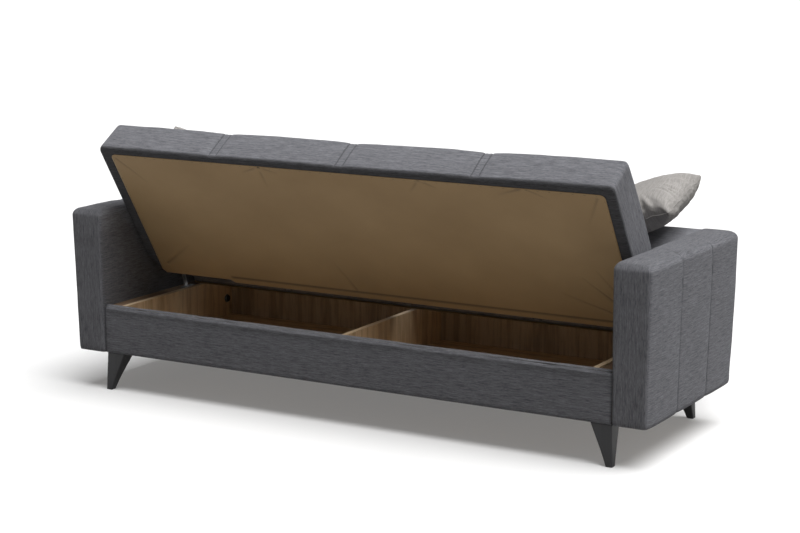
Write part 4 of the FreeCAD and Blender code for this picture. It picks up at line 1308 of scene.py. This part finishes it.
def beaded(name, guides, body, material, sizes):
    """Beads along several guides, each a list of points with a direction out of the cloth."""
    points, edges, outs = [], [], []
    for path, out in guides:
        path = np.asarray(path, float)
        out = np.broadcast_to(np.asarray(out, float), path.shape)
        first = len(points)
        points += path.tolist()
        outs += out.tolist()
        edges += [(first + i, first + i + 1) for i in range(len(path) - 1)]
    mesh = bpy.data.meshes.new(name)
    mesh.from_pydata(points, edges, [])
    mark = mesh.attributes.new("out", "FLOAT_VECTOR", "POINT")
    mark.data.foreach_set("vector", np.array(outs).ravel())
    piece = bpy.data.objects.new(name, mesh)
    bpy.context.scene.collection.objects.link(piece)
    modifier = piece.modifiers.new("beads", "NODES")
    modifier.node_group = beads
    for key, value in {**sizes, "Material": material}.items():
        modifier[bead_sizes[key]] = value
    plain(piece)
    piece.data.shade_smooth()
    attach(piece, body)
    print("beads", name, len(piece.data.polygons), "faces")


# %% Rows of stitches on the panels


def turned(stand, directions):
    """Directions, turned as a piece is that is stood in place."""
    return stand(directions) - stand(np.zeros((1, 3)))


def row_guide(rings, stand, station):
    """The line over a panel's top and front at one place along x, with its way out of the cloth."""
    k = np.abs(rings[:, 0, 0] - station).argmin()
    ring, normal = rings[k], outward(rings)[k]
    keep = (ring[:, 2] > panel["low"] + 0.012) & (ring[:, 1] > panel["hinge"] + 0.004)
    return stand((ring + normal * thread_rise)[keep]), turned(stand, normal[keep])


for label, rings in covers.items():
    guides = [row_guide(rings, stands[label], seam + side * panel["rows"])
              for seam in panel["seams"] for side in (-1, 1)]
    name = short_names[label] + "_stitches"
    beaded(name, guides, label, dark_thread, stitch)

# %% Rows of stitches on the arms
bare_low, bare_top = 4, 9           # rings of an arm that close its ends and carry no stitches
even = 3                            # points to each side that a seam's line is evened out over


def seam_guide(rings, stand, share):
    """The line up an arm's outer side at one share of its depth."""
    path, outs = [], []
    for ring, normal in zip(rings[bare_low:-bare_top], outward(rings)[bare_low:-bare_top]):
        front, rear = ring[:, 1].min(), ring[:, 1].max()
        mark = front + (rear - front) * share
        outer = ring[:, 0] > half_gap + arm["width"] * 0.7
        k = np.where(outer, np.abs(ring[:, 1] - mark), np.inf).argmin()
        path.append(ring[k] + normal[k] * thread_rise)
        outs.append(normal[k])
    path, span = np.array(path), 2 * even + 1
    path[:, 1] = np.convolve(np.pad(path[:, 1], even, "edge"), np.ones(span) / span, "valid")
    return stand(path), turned(stand, np.array(outs))


for label, rings in arms.items():
    guides = [seam_guide(rings, stands[label], share) for share in arm["seams"]]
    beaded("arm_stitches_" + label, guides, "base", dark_thread, stitch)

# %% Staples round the linings


def lining_edge(inset=0.006, first=0.02, proud=0.0005):
    """The stapled edge: up one end of the lining, along its front hem and down the other end."""
    half, far = lining["half"] - inset, lining["far"] - inset
    near = hinge_line(lining["half"] + lining["shift"]) + first
    cut, level = lining["round"] / 2, panel["low"] - lining["sunk"] - proud
    one_end = [(half, near), (half, far - cut), (half - cut, far)]
    corners = [(-x, s) for x, s in one_end] + one_end[::-1]
    return np.array([(x + lining["shift"], s, level) for x, s in corners])


down = np.array([[0, 0, -1.0]])
for label, short in short_names.items():
    guide = (stands[label](lining_edge()), turned(stands[label], down))
    beaded(short + "_staples", [guide], label, dull_staple, staple)

# %% [markdown]
# ## Finishes for the rigid pieces
#
# Boards, timber and fittings are already the right shape, so they keep their solids. Each gets the
# finish of its own stuff, with one grain direction for the whole piece.

# %% Paint the carried-over solids
finishes = (
    (oak_upright, "front_rail_board rear_rail_board"),
    # Painted light: the side boards, the divider and the floor panel get the lighter copies of the
    # oak print.
    (oak_side_painted_light, "side_board centre_divider"),
    (oak_flat_painted_light, "floor_panel"),
    (banding, "edge_bands"),
    (brown_plank, "hinge_plank"),
    (softwood_along, "floor_battens seat_frame back_frame"),
    (softwood_up, "corner_post hinge_post arm_frame"),
    (webbing, "seat_webbing back_webbing"),
    (zinc_plate, "hinge_base seat_arm back_arm ratchet_housing"),
    (zinc_bolt, "arm_bolts leg_bolts hinge_pin base_screws seat_arm_screws back_arm_screws"),
    (black_plastic, "bolt_caps"),
)
finish_of = {start: finish for finish, starts in finishes for start in starts.split()}
carried = {name: piece for name, piece in nodes.items() if not piece.hide_render}
for name, piece in carried.items():
    start = max((start for start in finish_of if name.startswith(start)), key=len)
    for place in piece.material_slots:
        place.material = finish_of[start]
print("painted", len(carried), "solids")

# %% [markdown]
# ## Floor, light and camera
#
# The sofa stands on a plain pale floor in soft light from above and from its right, which leaves
# the front faces dark. The floor shows nearly white to the camera and still keeps the sofa's
# shadow: part of it is a plain diffuse surface, and part glows, for camera, mirror and glass rays
# alone.

# %% A pale floor
white = (1, 1, 1, 1)
floor_light, floor_seen = (0.265, 0.26, 0.252, 1), (0.88, 0.88, 0.88, 1)
floor_glow, floor_reach = 0.17, 60.0


def studio_floor():
    """A wide floor, with one colour for the light that it throws back and one for the eye."""
    mesh = bpy.data.meshes.new("studio_floor")
    ways = ((-1, -1), (1, -1), (1, 1), (-1, 1))
    corners = [(x * floor_reach, y * floor_reach, 0) for x, y in ways]
    mesh.from_pydata(corners, [], [(0, 1, 2, 3)])
    floor = bpy.data.objects.new("studio_floor", mesh)
    bpy.context.scene.collection.objects.link(floor)
    r = Recipe("floor_paint", Roughness=0.9, Specular_IOR_Level=0.0)
    seen = r.seen()
    r.plug(r.shader.inputs["Base Color"], r.mix(seen, floor_light, floor_seen))
    glow = r.node("ShaderNodeEmission", {}, {"Color": white, "Strength": 1.0})
    plain_paint = Flow(r, r.shader.outputs[0])
    r.surface(r.node("ShaderNodeMixShader", {}, [seen * floor_glow, plain_paint, glow]))
    mesh.materials.append(r.material)


studio_floor()

# %% Soft light from above and the right
room_tint, room_light = (1.0, 0.985, 0.96, 1), 0.10
world = bpy.data.worlds.new("plain_room")
bpy.context.scene.world = world
world.use_nodes = True
sky = Network(world.node_tree)
backdrop = sky.tree.nodes["Background"]
for key, value in (("Color", white), ("Strength", 1.0)):
    sky.plug(backdrop.inputs[key], value)
room = sky.node("ShaderNodeBackground", {}, {"Color": room_tint, "Strength": room_light})
sky.surface(sky.node("ShaderNodeMixShader", {}, [sky.seen(), room, Flow(sky, backdrop.outputs[0])]))


def soft_sun(name, toward, spread, strength):
    """A broad light from one direction, so that the whole floor is lit alike."""
    lamp = bpy.data.lights.new(name, "SUN")
    lamp.angle, lamp.energy = math.radians(spread), strength
    holder = bpy.data.objects.new(name, lamp)
    bpy.context.scene.collection.objects.link(holder)
    holder.rotation_euler = Vector(toward).to_track_quat("Z", "Y").to_euler()


soft_sun("overhead", (0.30, 0.0, 0.95), 50, 4.25)
soft_sun("right_side", (0.90, 0.0, 0.45), 40, 0.25)

# %% The camera, fitted to the photograph's outlines
camera_from_pins = Vector((3.2946, -5.7085, 1.7179))    # across, forward and above the floor
camera_tilt, camera_turn, focal_length = 79.19, 30.05, 89.82
lens = bpy.data.cameras.new("photo_camera")
camera = bpy.data.objects.new("photo_camera", lens)
bpy.context.scene.collection.objects.link(camera)
camera.location = camera_from_pins + Vector((0, pivot.y, 0))
camera.rotation_euler = (math.radians(camera_tilt), 0, math.radians(camera_turn))
lens.sensor_fit, lens.sensor_width, lens.lens = "HORIZONTAL", 36.0, focal_length
bpy.context.scene.camera = camera
bpy.context.scene.view_settings.view_transform = "Standard"
